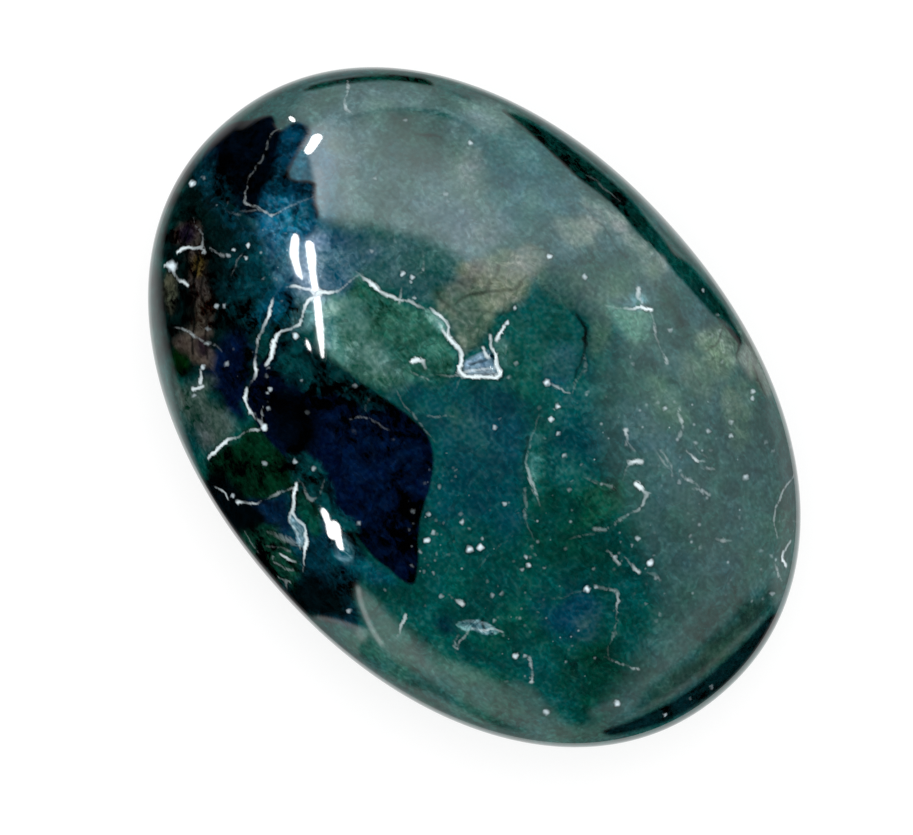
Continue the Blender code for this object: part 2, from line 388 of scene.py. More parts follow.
darkZones = {
    # painted glare: blueField and the lamp zones paint the glow round the lamp highlights into the agate's
    # colour
    "blueField": (0.9, 1.6, 1.3, "#03304c", "#3f6e7e", [
        (-19.6, 0.4), (-16, 0.3), (-14.3, -0.6), (-14.4, -3.2), (-15.8, -5.4), (-18.6, -5.6), (-21, -4.6),
        (-22.8, -3.6), (-22, -2.2), (-20.8, -0.8)]),
    "paintedLampGlare": (0.9, 1.4, 1.2, "#3a6072", "#8aa5b4", oval(-16.2, -2.9, 3.4, 1.3, -40)),
    "lampViolet": (0.8, 1.6, 1.4, "#1c485c", "#5c7a8c", oval(-15.4, -1.2, 1.7, 1.1, -25)),
    "lampBlue": (0.8, 1.2, 1.2, "#0c4252", "#1c6478", [
        (-24.6, 4.9), (-22, 4.4), (-19.4, 2.6), (-18.2, 0.9), (-19.6, 0.5), (-21.5, 1.6), (-23.4, 0.8),
        (-24.4, 2.4)]),
    "lampTail": (0.7, 1, 1.2, "#35686a", "#84aaa6", oval(-12.4, -4.6, 1.7, 0.7, -40)),
    "crackHaze": (0.5, 1, 1.4, "#3f666a", "#72a8b0", oval(-14.2, -5.7, 0.9, 1.1)),
    "darkLowLeft": (1, 1.6, 2, "#000000", "#011313", [
        (-29.6, -3.4), (-26, -3.8), (-23.5, -4), (-21, -4.8), (-19, -6), (-17.4, -7.4), (-15.8, -9.2),
        (-15.2, -12), (-15.4, -14.2), (-16.4, -16), (-20, -15.4), (-24, -12.6), (-27, -9), (-29.4, -5)]),
    "raggedGreen": (0.4, 1, 1.4, "#000000", "#050b08", [
        (-27.6, -3.9), (-26.3, -3.6), (-25, -3.9), (-24.6, -4.8), (-25.8, -5.6), (-27, -5.3)]),
    "tealMid": (1.6, 2.2, 1.8, "#000000", "#01313a", [
        (-21.5, -4.5), (-17, -5.2), (-16.6, -7.5), (-17, -9.6), (-19, -9.4), (-20.6, -7.6)]),
    "tealLow": (1.2, 1.8, 2.3, "#000000", "#013c52", [
        (-17.4, -5.2), (-15.4, -5), (-14.4, -5.8), (-14.4, -8.4), (-15.6, -9), (-16.8, -8.6), (-17.4, -7)]),
    "navyLow": (0.9, 1.4, 1.6, "#000100", "#000f2c", [
        (-16.6, -9.8), (-14.6, -10), (-13.2, -11.6), (-12, -13.2), (-11.2, -14.6), (-13, -15),
        (-15.4, -14.8), (-16.6, -13)]),
    "mossBottom": (0.4, 0.8, 1.8, "#000000", "#012818", [
        (-10.5, -13.6), (-7, -13), (-4, -12.6), (-2.2, -14), (-0.6, -15.4), (-2.8, -16.2), (-4.6, -16.4),
        (-6, -19), (-8.5, -19.8), (-10.8, -18.8), (-10.5, -16)]),
    "bottomNavy": (0.4, 0.6, 1.8, "#000000", "#012e3c", [
        (-5, -15.8), (-3, -17), (-3.5, -19), (-8.4, -20), (-4, -21.4), (1, -21.4), (5, -20), (7.2, -18.3),
        (5, -17.1), (4.3, -15.4), (2.8, -14), (-0.5, -14), (-1.5, -15.6), (-3, -15.8)]),
    "navyShard": (0.3, 0.6, 1.6, "#000004", "#031c33", [
        (-4.7, -15.9), (-3.4, -16.4), (-2.4, -17.2), (-2.4, -18.4), (-4, -19), (-6.4, -18.9), (-6.2, -18.2),
        (-5.1, -17)]),
    "bottomBlackRight": (0.5, 0.8, 2, "#000000", "#000a0d", [
        (1.3, -18.4), (3, -18.2), (5.2, -18), (6, -18.6), (4.4, -20.2), (3.6, -21.2), (1.2, -21.2)]),
    "bottomBlackLeft": (0.5, 0.8, 2, "#000000", "#000508", [
        (-9.4, -18.4), (-6.4, -18.6), (-4, -18.2), (-3.4, -19.2), (-4.2, -21.2), (-9, -20.6)]),
    "greenTongue": (0.25, 0.4, 1, "#001712", "#034c3e", [
        (-3.6, -14.9), (-2.2, -14.9), (-0.8, -15.4), (-0.4, -16.2), (-1.6, -16.2), (-2.8, -16.1)]),
    # painted glare beside the lowest lamp highlight
    "lampShore": (0.6, 0.8, 1, "#002836", "#015a66", [
        (1.2, -15.6), (2.2, -14.9), (3.6, -14.2), (6.2, -13.9), (5.4, -15.2), (3.6, -15.9), (2.7, -16.6),
        (1.8, -16.4)]),
    "shoreFilm": (0.4, 0.9, 1.4, "#34606c", "#80aab8", oval(1.9, -15.3, 0.9, 0.45, -25)),
    "brownStreak": (0.35, 1, 1.7, "#160c08", "#44403b", [
        (-26, -7.8), (-25.2, -7.1), (-24.2, -7.4), (-23.2, -8.1), (-22.2, -8.9), (-21.2, -9.7),
        (-20, -10.2), (-19, -11), (-17.8, -12.1), (-16.8, -13), (-16, -13.7), (-17, -14.4), (-18.2, -14.5),
        (-19.6, -14.6), (-19.2, -13.4), (-20, -12.4), (-20.4, -11.4), (-21.6, -10.6), (-22.6, -10.3),
        (-23.4, -9.4), (-24.4, -8.8), (-25.6, -8.9)]),
    "ochrePatch": (0.4, 0.6, 1.6, "#140c00", "#786630", oval(-22.8, -9.1, 0.9, 0.5, -35)),
    "plumPatch": (0.4, 0.6, 1.4, "#01060e", "#201820", oval(-17.6, -13.1, 0.8, 0.45, -35)),
    "violetEnd": (0.3, 0.6, 1.6, "#05020c", "#221b29", oval(-25.2, -8.1, 0.8, 0.6, -40)),
    "brownSpill": (0.3, 0.6, 1.8, "#000000", "#414538", [
        (-23.8, -11.1), (-22.6, -11.3), (-21.7, -12.3), (-21.2, -13.3), (-22.2, -13.1), (-23.3, -12.4)]),
    "mossLow": (0.3, 0.6, 1.6, "#000401", "#012006", [
        (-18.9, -14.7), (-17.6, -14.5), (-16.9, -15.2), (-16.9, -16), (-17.8, -16), (-18.6, -15.5)]),
    "slatePatch": (0.6, 0.9, 1.2, "#03271c", "#4a5956", [
        (-15.3, -14.3), (-14.9, -14.9), (-14.2, -15.3), (-12.8, -15.3), (-11.2, -15.2), (-11, -16),
        (-11.1, -18), (-12.4, -18.3), (-14.2, -18), (-15.8, -17.3), (-16.4, -16.6), (-15.9, -15.8)]),
    "swirlGround": (0.4, 0.8, 2.6, "#000000", "#083225", [
        (-3.4, -18.4), (-1.5, -18.2), (0.6, -18.6), (1.4, -20.4), (-1, -21), (-4.2, -20.8)]),
}
# These keep an edge finer than the mesh, which the material draws.
crispZones = {
    # painted dark reflection: the bays, with the tinted edges and patches in them, are the image of something
    # dark above the stone, painted near black into the agate's colour
    "darkReflectionLeft": (0.14, 0.12, 1.6, "#000000", "#000814", [
        (-29.4, 0.6), (-28.7, 1.6), (-28.4, 2.4), (-27.9, 3.1), (-27.3, 2.9), (-26.7, 2.8), (-26.4, 3.4),
        (-26.3, 4), (-25.9, 4.4), (-25.2, 4.6), (-24.8, 4.4), (-24.5, 3.4), (-24.2, 2.4), (-23.8, 1.4),
        (-23.3, 1), (-22.8, 1.2), (-22.3, 1.8), (-21.9, 2.1), (-21.5, 2.2), (-21.1, 1.8), (-20.5, 1.3),
        (-19.4, 0.5), (-20, -1), (-22, -3), (-24, -3.9), (-27, -4), (-28.9, -3.4), (-29.6, -1)]),
    "blueWindow": (0.4, 0.5, 1.5, "#00111c", "#013c54", [
        (-26.3, 4.25), (-25.4, 4.7), (-24.75, 4.3), (-24.4, 2.9), (-24, 1.7), (-23.6, 1), (-23, 0.85),
        (-22.4, 1.4), (-21.7, 1.95), (-21.2, 1.7), (-20.6, 1.2), (-19.4, 0.4), (-18.6, -0.6), (-19.6, -2.6),
        (-22.4, -3.2), (-23.8, -1.6), (-24.3, 0), (-25.4, 1.6), (-26.3, 3)]),
    "bayLeftFoot": (0.8, 1.4, 2.8, "#000000", "#01222c", [
        (-28.5, -2.8), (-26, -3.2), (-24.6, -3.6), (-23, -3.7), (-21.4, -3.6), (-20.6, -4.4), (-22.6, -5),
        (-26, -5), (-28.5, -4.8)]),
    "bayBlue": (1.2, 1, 1.5, "#001c2e", "#2a7290", oval(-20.7, -1.9, 2, 1.6, -35)),
    "darkReflectionMiddle": (0.16, 0.14, 2, "#000000", "#000c24", [
        (-12.8, -7.3), (-10.3, -6.6), (-9, -6.1), (-7.5, -5.6), (-5.4, -5), (-4, -4.6), (-2.5, -4.3),
        (-1, -4.2), (0.1, -4.5), (1.15, -5.2), (2.25, -6.4), (3.15, -7.8), (4.05, -9.2), (5, -10.2),
        (6, -11.1), (7.1, -12.2), (7.5, -12.9), (7, -13.3), (5.5, -13.6), (3.5, -13.9), (1, -13.8),
        (-2, -14.1), (-6, -13.9), (-9, -14), (-12, -13.4), (-13.4, -11.5), (-14, -9), (-13.8, -7.8)]),
    "navyBlots": (1.2, 2.4, 1.8, "#000002", "#00132e", [
        (-6.4, -6.6), (-3, -5.6), (0, -6.4), (2.4, -8.6), (4.4, -11), (3, -12.4), (-1, -11.4), (-5, -9.4)]),
    "bayBlackFoot": (0.9, 1.6, 1.8, "#000000", "#00040c", oval(-8.6, -11.6, 3, 1.8, -15)),
    "bayShore": (0.6, 1.2, 1.6, "#000304", "#01363a", [
        (-13.7, -6.9), (-11, -6.3), (-8.8, -5.8), (-6, -5.3), (-4.6, -5.2), (-5.6, -6.6), (-7.9, -7.2),
        (-8.8, -8.4), (-10.2, -9.6), (-12.6, -10), (-13.5, -8.8)]),
    "bayFoot": (0.4, 0.9, 1.7, "#000000", "#01393c", [
        (-6.6, -13.4), (-4.8, -12.3), (-3, -12.6), (-1, -13.4), (1.4, -13.4), (1, -14.4), (-2.2, -14.6),
        (-5, -14.6)]),
    # painted shade: the dark crescents along the rim, painted near black into the agate's colour beneath the
    # dark crescents of the mirrored surroundings
    "topShade": (0.12, 0.25, 1.8, "#000000", "#013530", [
        (-16.2, 17.2), (-14, 17.5), (-12, 17.8), (-9, 18), (-5, 18.8), (-2, 18.9), (1, 19.1), (5, 19.1),
        (8, 19.2), (9.8, 19.1), (10.3, 19.3), (9.5, 19.7), (8, 20), (5, 20.2), (2, 20.2), (-1, 20.1),
        (-5, 20.1), (-9, 19.5), (-12, 18.9), (-14.5, 18)]),
    "upperLeftShade": (0.12, 0.15, 1.8, "#000000", "#023d33", [
        (-27.75, 6.3), (-27.1, 7.2), (-26.3, 8.7), (-25.6, 9.7), (-24.8, 10.8), (-23.8, 12), (-22.9, 12.9),
        (-21.3, 14.3), (-22.1, 14.2), (-23.2, 13.3), (-24.2, 12.3), (-25.2, 11.1), (-26.1, 9.8),
        (-26.9, 8.5), (-27.6, 7.2)]),
    "rightShade": (0.2, 0.2, 2.4, "#000000", "#011a1d", [
        (28, 7), (28.15, 5), (28.3, 3), (28.35, 1), (28.3, -1), (28, -3.5), (27.5, -5.5), (26.9, -7.4),
        (26.2, -9.2), (27, -8.9), (27.9, -7.2), (28.9, -5), (29.45, -2.5), (29.75, 0), (29.6, 3),
        (28.7, 7)]),
    "vugFloor": (0.22, 0.3, 1.9, "#1a4250", "#7da0b2", [
        (-3.1, 1.8), (-2.95, 2.5), (-2.75, 3.2), (-2.5, 3.9), (-1.9, 3.9), (-1.4, 3.6), (-0.7, 3.3),
        (-1.1, 2.5), (-1.7, 1.7), (-2.3, 1.2), (-2.8, 1.3)]),
    "rawPatch": (0.1, 0.25, 1.9, "#0a3844", "#6a98a2", [
        (12.05, -12.35), (12.2, -11.9), (12.55, -11.3), (13, -10.9), (13.4, -10.6), (13.75, -10.3),
        (14, -10.35), (14.35, -10.2), (14.85, -10.15), (14.7, -10.7), (14.35, -11.1), (13.8, -11.45),
        (13.3, -11.85), (12.7, -12.3)]),
    "forkFilm": (0.12, 0.15, 1.5, "#0c2f3a", "#80a8b8", [
        (-3.3, -16.2), (-2.6, -16.4), (-1.6, -16.3), (-0.9, -16.8), (-0.3, -17.5), (-0.9, -17.7),
        (-1.7, -17.2), (-2.5, -17.1), (-3, -16.8)]),
}
# Hues that drift through the pale zones: colour, which part of the noise draws it, and how much of it.
tints = [("#0c535f", 0, 0.25), ("#1c4f3a", 1, 0.20), ("#02452f", 2, 0.30)]

# Cracks that silica has healed. Each point of a route: x, y, half the width in mm, and how white it is
# (below 0, how dark).
cracks = [
    [(-13.9, 0.05, 0.06, 0.3), (-13.3, 0.1, 0.12, 0.7), (-12.6, 0.25, 0.17, 1), (-12.2, 0.35, 0.14, 1),
     (-11.6, 0.45, 0.09, 0.7), (-11, 0.65, 0.11, 0.85), (-10.5, 0.95, 0.1, 0.8), (-10, 1.3, 0.07, 0.6),
     (-9.6, 1.6, 0.09, 0.65), (-9.2, 1.8, 0.09, 0.7), (-8.7, 2, 0.07, 0.5), (-8.4, 2.15, 0.05, 0.3)],
    [(-10.6, 1.6, 0.05, 0.35), (-10.3, 1.2, 0.08, 0.6)],
    [(-7.75, 2.55, 0.07, 0.6), (-7.4, 2.65, 0.13, 0.95), (-7, 2.7, 0.11, 0.9), (-6.5, 2.75, 0.09, 0.75),
     (-6.1, 2.7, 0.1, 0.8), (-5.8, 2.4, 0.1, 0.8), (-5.6, 2.15, 0.12, 0.95), (-5.2, 2.05, 0.12, 1),
     (-4.8, 2.15, 0.12, 1), (-4.4, 2.2, 0.1, 0.9), (-4.1, 2.15, 0.14, 0.9), (-3.7, 2, 0.12, 0.9),
     (-3.4, 1.75, 0.13, 1), (-3.15, 1.4, 0.14, 1), (-3, 1.05, 0.14, 1), (-2.6, 1, 0.14, 1),
     (-2.2, 1.1, 0.14, 1), (-1.8, 1.5, 0.13, 1), (-1.55, 1.85, 0.13, 1), (-1.2, 2.1, 0.11, 0.9),
     (-0.8, 2.5, 0.12, 0.95), (-0.45, 2.9, 0.12, 1), (-0.5, 3.3, 0.13, 1), (-0.85, 3.45, 0.13, 1),
     (-1.3, 3.5, 0.11, 0.95), (-1.7, 3.8, 0.12, 1), (-1.9, 4.05, 0.12, 1), (-2.4, 4.05, 0.1, 0.85),
     (-2.8, 4.2, 0.08, 0.7), (-3.1, 4.5, 0.12, 0.75)],
    [(-6.4, 2.2, 0.08, 0.5), (-6, 2.1, 0.1, 0.8), (-5.6, 2.12, 0.1, 0.9)],
    [(-3.1, 5.75, 0.1, 0.9), (-3, 5.35, 0.17, 1), (-2.9, 5.1, 0.13, 0.9)],
    [(-2.5, 0.8, 0.07, 0.5), (-2.9, 0.3, 0.07, 0.4), (-3.4, -0.2, 0.06, 0.3), (-3.9, -0.7, 0.04, 0.2)],
    [(-2.3, 0.7, 0.06, 0.35), (-2.1, 0.1, 0.04, 0.2)],
    [(-2.7, 3.5, 0.12, 0.8), (-2.35, 3.45, 0.18, 0.95)],
    [(-1.7, 4.9, 0.05, 0.3), (-1.45, 4.5, 0.05, 0.25)],
    [(-11.7, 4.9, 0.04, 0.2), (-11.2, 4.5, 0.05, 0.3), (-10.8, 4.1, 0.1, 0.5), (-10.8, 3.7, 0.05, 0.3)],
    [(-13.9, -0.3, 0.05, 0.35), (-13.9, -1, 0.07, 0.45), (-13.9, -1.9, 0.06, 0.45),
     (-14.2, -2.4, 0.08, 0.7), (-14.6, -3, 0.12, 0.95), (-14.9, -3.4, 0.14, 1), (-14.9, -4, 0.09, 0.8),
     (-14.85, -4.7, 0.13, 0.85), (-14.6, -5.2, 0.08, 0.7), (-14.2, -5.7, 0.07, 0.6),
     (-13.9, -6.1, 0.12, 0.85), (-14.15, -6.7, 0.07, 0.6), (-14.4, -7.4, 0.07, 0.65),
     (-14.5, -8, 0.12, 0.9), (-14.3, -8.6, 0.15, 1), (-13.9, -9.1, 0.15, 1), (-13.5, -9.5, 0.14, 1),
     (-13.35, -9.95, 0.11, 0.8)],
    [(-17, -5.2, 0.03, 0.05), (-16.6, -4.6, 0.09, 0.7), (-16.3, -4.3, 0.12, 0.9), (-15.8, -3.95, 0.07, 0.6),
     (-15.2, -3.7, 0.1, 0.8)],
    [(-17, -6.2, 0.03, 0.1), (-16.8, -6.6, 0.08, 0.75), (-16.5, -7.1, 0.09, 0.85), (-16.1, -7.5, 0.14, 1),
     (-15.95, -7.8, 0.08, 0.8), (-15.7, -8.5, 0.1, 0.55), (-15.4, -9.1, 0.06, 0.45),
     (-15.2, -9.45, 0.12, 0.7), (-14.8, -9.9, 0.05, 0.4), (-14.3, -10.5, 0.05, 0.4),
     (-13.9, -10.9, 0.1, 0.8), (-13.6, -11.05, 0.16, 1), (-13.35, -11.3, 0.09, 0.8),
     (-13.1, -11.8, 0.07, 0.4), (-12.95, -12.3, 0.04, 0.1)],
    [(-12.65, -12.9, 0.09, 0.8), (-12.5, -13.15, 0.12, 1), (-12.1, -13.45, 0.08, 0.9),
     (-11.7, -13.6, 0.09, 0.85), (-11.3, -13.68, 0.12, 0.95), (-11, -13.65, 0.07, 0.6)],
    [(-10.7, -12.95, 0.05, 0.4), (-10.4, -13.2, 0.07, 0.5), (-10.2, -13.4, 0.07, 0.5)],
    [(-10.6, -13.6, 0.09, 0.4), (-10.2, -13.6, 0.11, 0.6), (-9.8, -13.63, 0.15, 0.9)],
    [(-10, -14.3, 0.11, 0.7), (-10.3, -14.9, 0.05, 0.35), (-10.4, -15.5, 0.05, 0.4),
     (-10.7, -16.1, 0.07, 0.6), (-10.85, -16.5, 0.1, 0.9), (-10.8, -16.9, 0.12, 1),
     (-10.8, -17.5, 0.1, 0.95), (-10.75, -18, 0.13, 1), (-10.75, -18.4, 0.11, 0.8)],
    [(-26.8, 2.6, 0.04, 0.3), (-26.8, 2, 0.06, 0.35), (-26.5, 1.4, 0.06, 0.35), (-26.1, 0.8, 0.06, 0.35),
     (-25.8, 0.2, 0.05, 0.3), (-25.75, -0.4, 0.05, 0.3), (-25.5, -1.2, 0.05, 0.3), (-25.2, -1.8, 0.05, 0.3),
     (-24.7, -2.6, 0.06, 0.4), (-24.2, -3.05, 0.08, 0.55), (-23.8, -2.95, 0.08, 0.55),
     (-23.4, -2.65, 0.07, 0.5), (-22.9, -2.5, 0.09, 0.55), (-22.3, -2.3, 0.09, 0.6),
     (-21.9, -2.1, 0.12, 0.75), (-21.75, -1.6, 0.05, 0.4), (-21.6, -0.9, 0.06, 0.4),
     (-21.4, -0.2, 0.06, 0.35), (-21.2, 0.4, 0.06, 0.3), (-21, 1, 0.05, 0.25)],
    [(-23.6, -3.5, 0.05, 0.2), (-23.3, -3.1, 0.07, 0.3)],
    [(-24.5, -4.5, 0.05, 0.15), (-23.9, -4.2, 0.07, 0.3)],
    [(-22.9, -7.45, 0.08, 0.4), (-22.3, -7.25, 0.09, 0.45)],
    [(-21.1, -6.3, 0.05, 0.35), (-20.9, -6.8, 0.05, 0.3), (-20.6, -7.3, 0.04, 0.2)],
    [(-25.6, -7.1, 0.04, 0.25), (-24.8, -7.2, 0.05, 0.35), (-24.1, -7.5, 0.05, 0.4),
     (-23.5, -7.95, 0.1, 0.6), (-24, -8.5, 0.07, 0.65), (-24.5, -9, 0.12, 0.95),
     (-24.65, -9.4, 0.14, 0.95)],
    [(-24.4, -11, 0.13, 0.9), (-24.2, -10.75, 0.28, 1), (-23.9, -10.8, 0.22, 1), (-23.5, -11.05, 0.09, 0.5),
     (-23, -11.1, 0.09, 0.45), (-22.7, -10.95, 0.13, 0.85), (-22.4, -10.85, 0.12, 0.85)],
    [(-20.1, -13.6, 0.04, 0.35), (-19.7, -13.35, 0.06, 0.5), (-19.3, -13.15, 0.08, 0.5),
     (-18.8, -13.1, 0.09, 0.6), (-18.3, -12.9, 0.06, 0.4)],
    [(-17.6, -12.6, 0.08, 0.45), (-17.1, -12.2, 0.05, 0.3), (-16.8, -12.2, 0.04, 0.25)],
    [(-16.1, -14.65, 0.11, 0.7), (-15.8, -14.95, 0.16, 0.85)],
    [(-15.4, -15.4, 0.12, 0.85), (-15.55, -15.75, 0.15, 0.9)],
    [(-4.4, -14.9, 0.12, 0.9), (-4.2, -15.2, 0.15, 1), (-3.8, -15.6, 0.12, 0.9), (-3.4, -16, 0.1, 0.85),
     (-3.1, -16.4, 0.12, 0.85), (-2.6, -16.5, 0.09, 0.75), (-2.1, -16.4, 0.08, 0.7),
     (-1.6, -16.35, 0.08, 0.75), (-1.2, -16.6, 0.1, 0.85), (-0.8, -16.9, 0.1, 0.9), (-0.45, -17.2, 0.13, 1),
     (-0.25, -17.5, 0.14, 1), (0.1, -17.9, 0.08, 0.8), (0.5, -18.3, 0.06, 0.6), (0.8, -18.6, 0.04, 0.3)],
    [(-3, -16.7, 0.1, 0.65), (-2.7, -17, 0.1, 0.6), (-2.2, -17.1, 0.09, 0.55), (-1.7, -17.1, 0.08, 0.5),
     (-1.2, -17.4, 0.07, 0.5), (-0.8, -17.6, 0.06, 0.5)],
    [(-4.5, -15.1, 0.06, 0.5), (-4.8, -15.8, 0.04, 0.3), (-5, -16.3, 0.13, 0.6), (-5.2, -17.2, 0.03, 0.2),
     (-5.4, -17.9, 0.08, 0.5), (-5.65, -18.25, 0.13, 0.8), (-6.1, -18.75, 0.05, 0.4),
     (-6.45, -19, 0.15, 0.9)],
    [(-7.6, -19.45, 0.07, 0.7), (-8, -19.45, 0.09, 0.75), (-8.4, -19.6, 0.06, 0.5)],
    [(-4.4, -14.3, 0.04, 0.25), (-3.9, -14.4, 0.07, 0.4), (-3.4, -14.6, 0.07, 0.4),
     (-2.8, -14.65, 0.09, 0.45), (-2.7, -14.2, 0.05, 0.3), (-2.8, -13.7, 0.05, 0.3),
     (-3.2, -13.1, 0.04, 0.25)],
    [(-5.5, -7.7, 0.05, 0.3), (-5.1, -7.2, 0.06, 0.35), (-4.6, -6.8, 0.06, 0.35), (-4, -6.6, 0.05, 0.3),
     (-3.4, -6.5, 0.05, 0.25)],
    [(-5.8, -6.1, 0.08, 0.2), (-5.6, -6.5, 0.07, 0.2)],
    [(0.2, 10.9, 0.18, -0.7), (0.9, 10.8, 0.2, -0.9), (1.6, 10.4, 0.22, -1), (2.1, 10, 0.2, -0.9),
     (2.5, 9.5, 0.12, -0.6), (3.1, 8.5, 0.1, -0.5), (3.4, 7.8, 0.1, -0.5)],
    [(3, 9.1, 0.1, 0.3), (3.5, 8.7, 0.14, 0.3)],
    [(3.7, 8, 0.07, 0.25), (3.8, 7.4, 0.07, 0.3), (4.1, 7, 0.07, 0.3), (4.4, 6.6, 0.06, 0.35),
     (4.1, 6.25, 0.07, 0.45), (3.6, 6.2, 0.08, 0.55), (3.3, 6.1, 0.1, 0.65), (3, 5.9, 0.07, 0.45)],
    [(4.1, 3.2, 0.04, 0.2), (4.9, 1.75, 0.05, 0.3), (5.7, 0.65, 0.06, 0.35), (6.4, 0, 0.08, 0.5),
     (7.3, -0.45, 0.1, 0.6), (8.3, -0.8, 0.1, 0.6), (9.1, -1.05, 0.06, 0.35)],
    [(4.9, 1.45, 0.12, -0.5), (5.5, 0.6, 0.12, -0.6), (6.2, -0.15, 0.08, -0.4)],
    [(7.9, -1.5, 0.1, 0.35), (8.4, -1.8, 0.07, 0.35), (8.8, -2.1, 0.06, 0.3), (9.2, -2.6, 0.1, 0.3)],
    [(9.8, -4.8, 0.04, 0.2), (9.7, -5.4, 0.03, 0.05), (9.7, -5.8, 0.05, 0.25), (9.75, -6.4, 0.03, 0.05),
     (9.75, -7.2, 0.05, 0.25), (9.9, -8, 0.03, 0.1)],
    [(13.2, -12.2, 0.06, 0.4), (13.35, -12.8, 0.08, 0.45), (13.5, -13.4, 0.1, 0.5)],
    [(15.3, 8.95, 0.07, 0.4), (15.9, 9.2, 0.09, 0.5), (16.3, 9.3, 0.04, 0.3)],
    [(16.7, 9.1, 0.07, 0.4), (17.3, 9.4, 0.09, 0.5)],
    [(16, 0.5, 0.08, 0.4), (16.7, 0.5, 0.1, 0.6)],
    [(9.6, 7.7, 0.17, 0.75), (9.9, 7.5, 0.08, 0.4), (10.3, 7.2, 0.1, 0.45), (10.7, 7.3, 0.08, 0.35)],
    [(11.9, 6.95, 0.15, 0.8), (11.75, 6.8, 0.19, 1), (11.4, 6.4, 0.08, 0.6), (11.7, 5.9, 0.05, 0.3),
     (12, 5.4, 0.04, 0.25)],
    [(13.4, 5.75, 0.22, 1), (13.7, 5.75, 0.19, 1), (14, 5.75, 0.09, 0.6), (14.3, 5.9, 0.08, 0.6),
     (14.5, 5.4, 0.08, 0.55), (14.75, 5, 0.09, 0.6), (14.8, 4.3, 0.09, 0.45), (14.6, 3.6, 0.04, 0.25),
     (14.4, 2.7, 0.15, 0.45), (14.3, 2, 0.04, 0.25), (14.3, 1.4, 0.12, 0.4), (13.9, 1.05, 0.11, 0.45)],
    [(10.4, 3.1, 0.05, 0.25), (11, 3.4, 0.07, 0.35), (11.5, 3.7, 0.07, 0.3), (11.9, 4, 0.08, 0.35)],
    [(12.2, 8.85, 0.05, 0.35), (13, 8.85, 0.08, 0.45), (13.8, 8.75, 0.08, 0.45), (14.3, 8.45, 0.06, 0.35)],
    [(12.4, 8.55, 0.05, 0.35), (13.1, 8.5, 0.07, 0.42), (13.6, 8.4, 0.06, 0.35)],
    [(14.1, 10.5, 0.07, 0.4), (14.6, 10.45, 0.09, 0.8), (14.95, 10.5, 0.12, 0.85), (15.1, 10.7, 0.05, 0.4)],
    [(15.5, 10.4, 0.05, 0.25), (15.9, 10.7, 0.08, 0.35), (16.1, 10.9, 0.07, 0.35)],
    [(14, 11.2, 0.05, 0.2), (14.5, 11.1, 0.06, 0.25), (15, 11.3, 0.06, 0.25)],
    [(11.1, 11.95, 0.13, 0.45), (11.4, 11.75, 0.06, 0.4), (11.7, 11.7, 0.16, 0.75), (12.1, 11.5, 0.05, 0.3),
     (12.4, 11, 0.14, 0.45)],
    [(1.2, 13.4, 0.06, 0.3), (1.8, 13.9, 0.07, 0.4), (2.3, 14.4, 0.09, 0.55), (2.6, 14.9, 0.11, 0.85),
     (2.9, 15.3, 0.14, 1), (3.25, 15.5, 0.13, 1)],
    [(3.4, 15.45, 0.04, 0.3), (4.3, 15.2, 0.05, 0.35), (4.7, 15, 0.1, 0.55), (5, 14.8, 0.1, 0.55),
     (5.5, 14.5, 0.06, 0.35), (6.2, 14.2, 0.04, 0.25), (6.8, 14.05, 0.06, 0.35), (7.2, 13.95, 0.13, 0.6)],
    [(1.75, 15.85, 0.16, 0.75), (2, 15.6, 0.14, 0.65), (2.3, 15.5, 0.11, 0.5)],
    [(17.3, 1.15, 0.05, 0.35), (17.8, 1.25, 0.07, 0.45), (18.25, 1.2, 0.14, 0.75)],
    [(19.3, 1.9, 0.08, 0.25), (19.8, 2.1, 0.12, 0.35)],
    [(20.8, 7.75, 0.06, 0.3), (21.05, 7.95, 0.14, 0.6), (21.3, 8.15, 0.05, 0.3)],
    [(24.7, 11.7, 0.09, 0.6), (24.9, 11.1, 0.09, 0.65), (25.05, 10.7, 0.11, 0.8), (25.35, 10.5, 0.2, 1),
     (25.65, 10.45, 0.12, 0.9)],
    [(25.3, 9.75, 0.05, 0.4), (25.8, 9.55, 0.1, 0.6), (26.3, 9.35, 0.05, 0.4)],
    [(17.5, -1.8, 0.09, 0.3), (17.9, -1.5, 0.1, 0.35), (18.3, -1.2, 0.09, 0.45), (18.7, -1.15, 0.1, 0.55),
     (19, -1.35, 0.1, 0.6), (19.3, -1.65, 0.1, 0.65), (19.6, -2, 0.06, 0.45), (20, -2.4, 0.05, 0.35),
     (20.5, -2.9, 0.05, 0.3), (21, -3.45, 0.11, 0.4), (21.3, -4.1, 0.04, 0.25), (21.8, -4.8, 0.04, 0.2)],
    [(16.6, -3.4, 0.05, 0.2), (16.3, -4.3, 0.05, 0.2), (15.9, -5, 0.09, 0.2)],
    [(22.2, -5.05, 0.08, 0.4), (22.6, -4.95, 0.08, 0.45), (23, -4.7, 0.07, 0.4), (23.4, -4.4, 0.06, 0.4),
     (23.8, -4.2, 0.07, 0.45), (24.1, -4.05, 0.1, 0.55)],
    [(18.2, -9.9, 0.1, 0.55), (18.5, -10.1, 0.1, 0.6), (19, -10.35, 0.07, 0.3), (19.35, -10.7, 0.14, 0.7)],
    [(13, -13.1, 0.06, 0.3), (13.2, -13.5, 0.1, 0.45), (13.5, -13.75, 0.08, 0.4)],
    [(10.3, -11.3, 0.04, 0.25), (10.7, -11.2, 0.06, 0.4), (11, -11.1, 0.19, 0.8)],
    [(9.1, -15.2, 0.1, 0.7), (9.3, -15.6, 0.1, 0.7), (9.5, -16, 0.08, 0.6), (9.7, -16.3, 0.06, 0.35)],
    [(10, -3, 0.05, 0.25), (10.8, -3.2, 0.05, 0.2), (11.4, -3.7, 0.05, 0.25)],
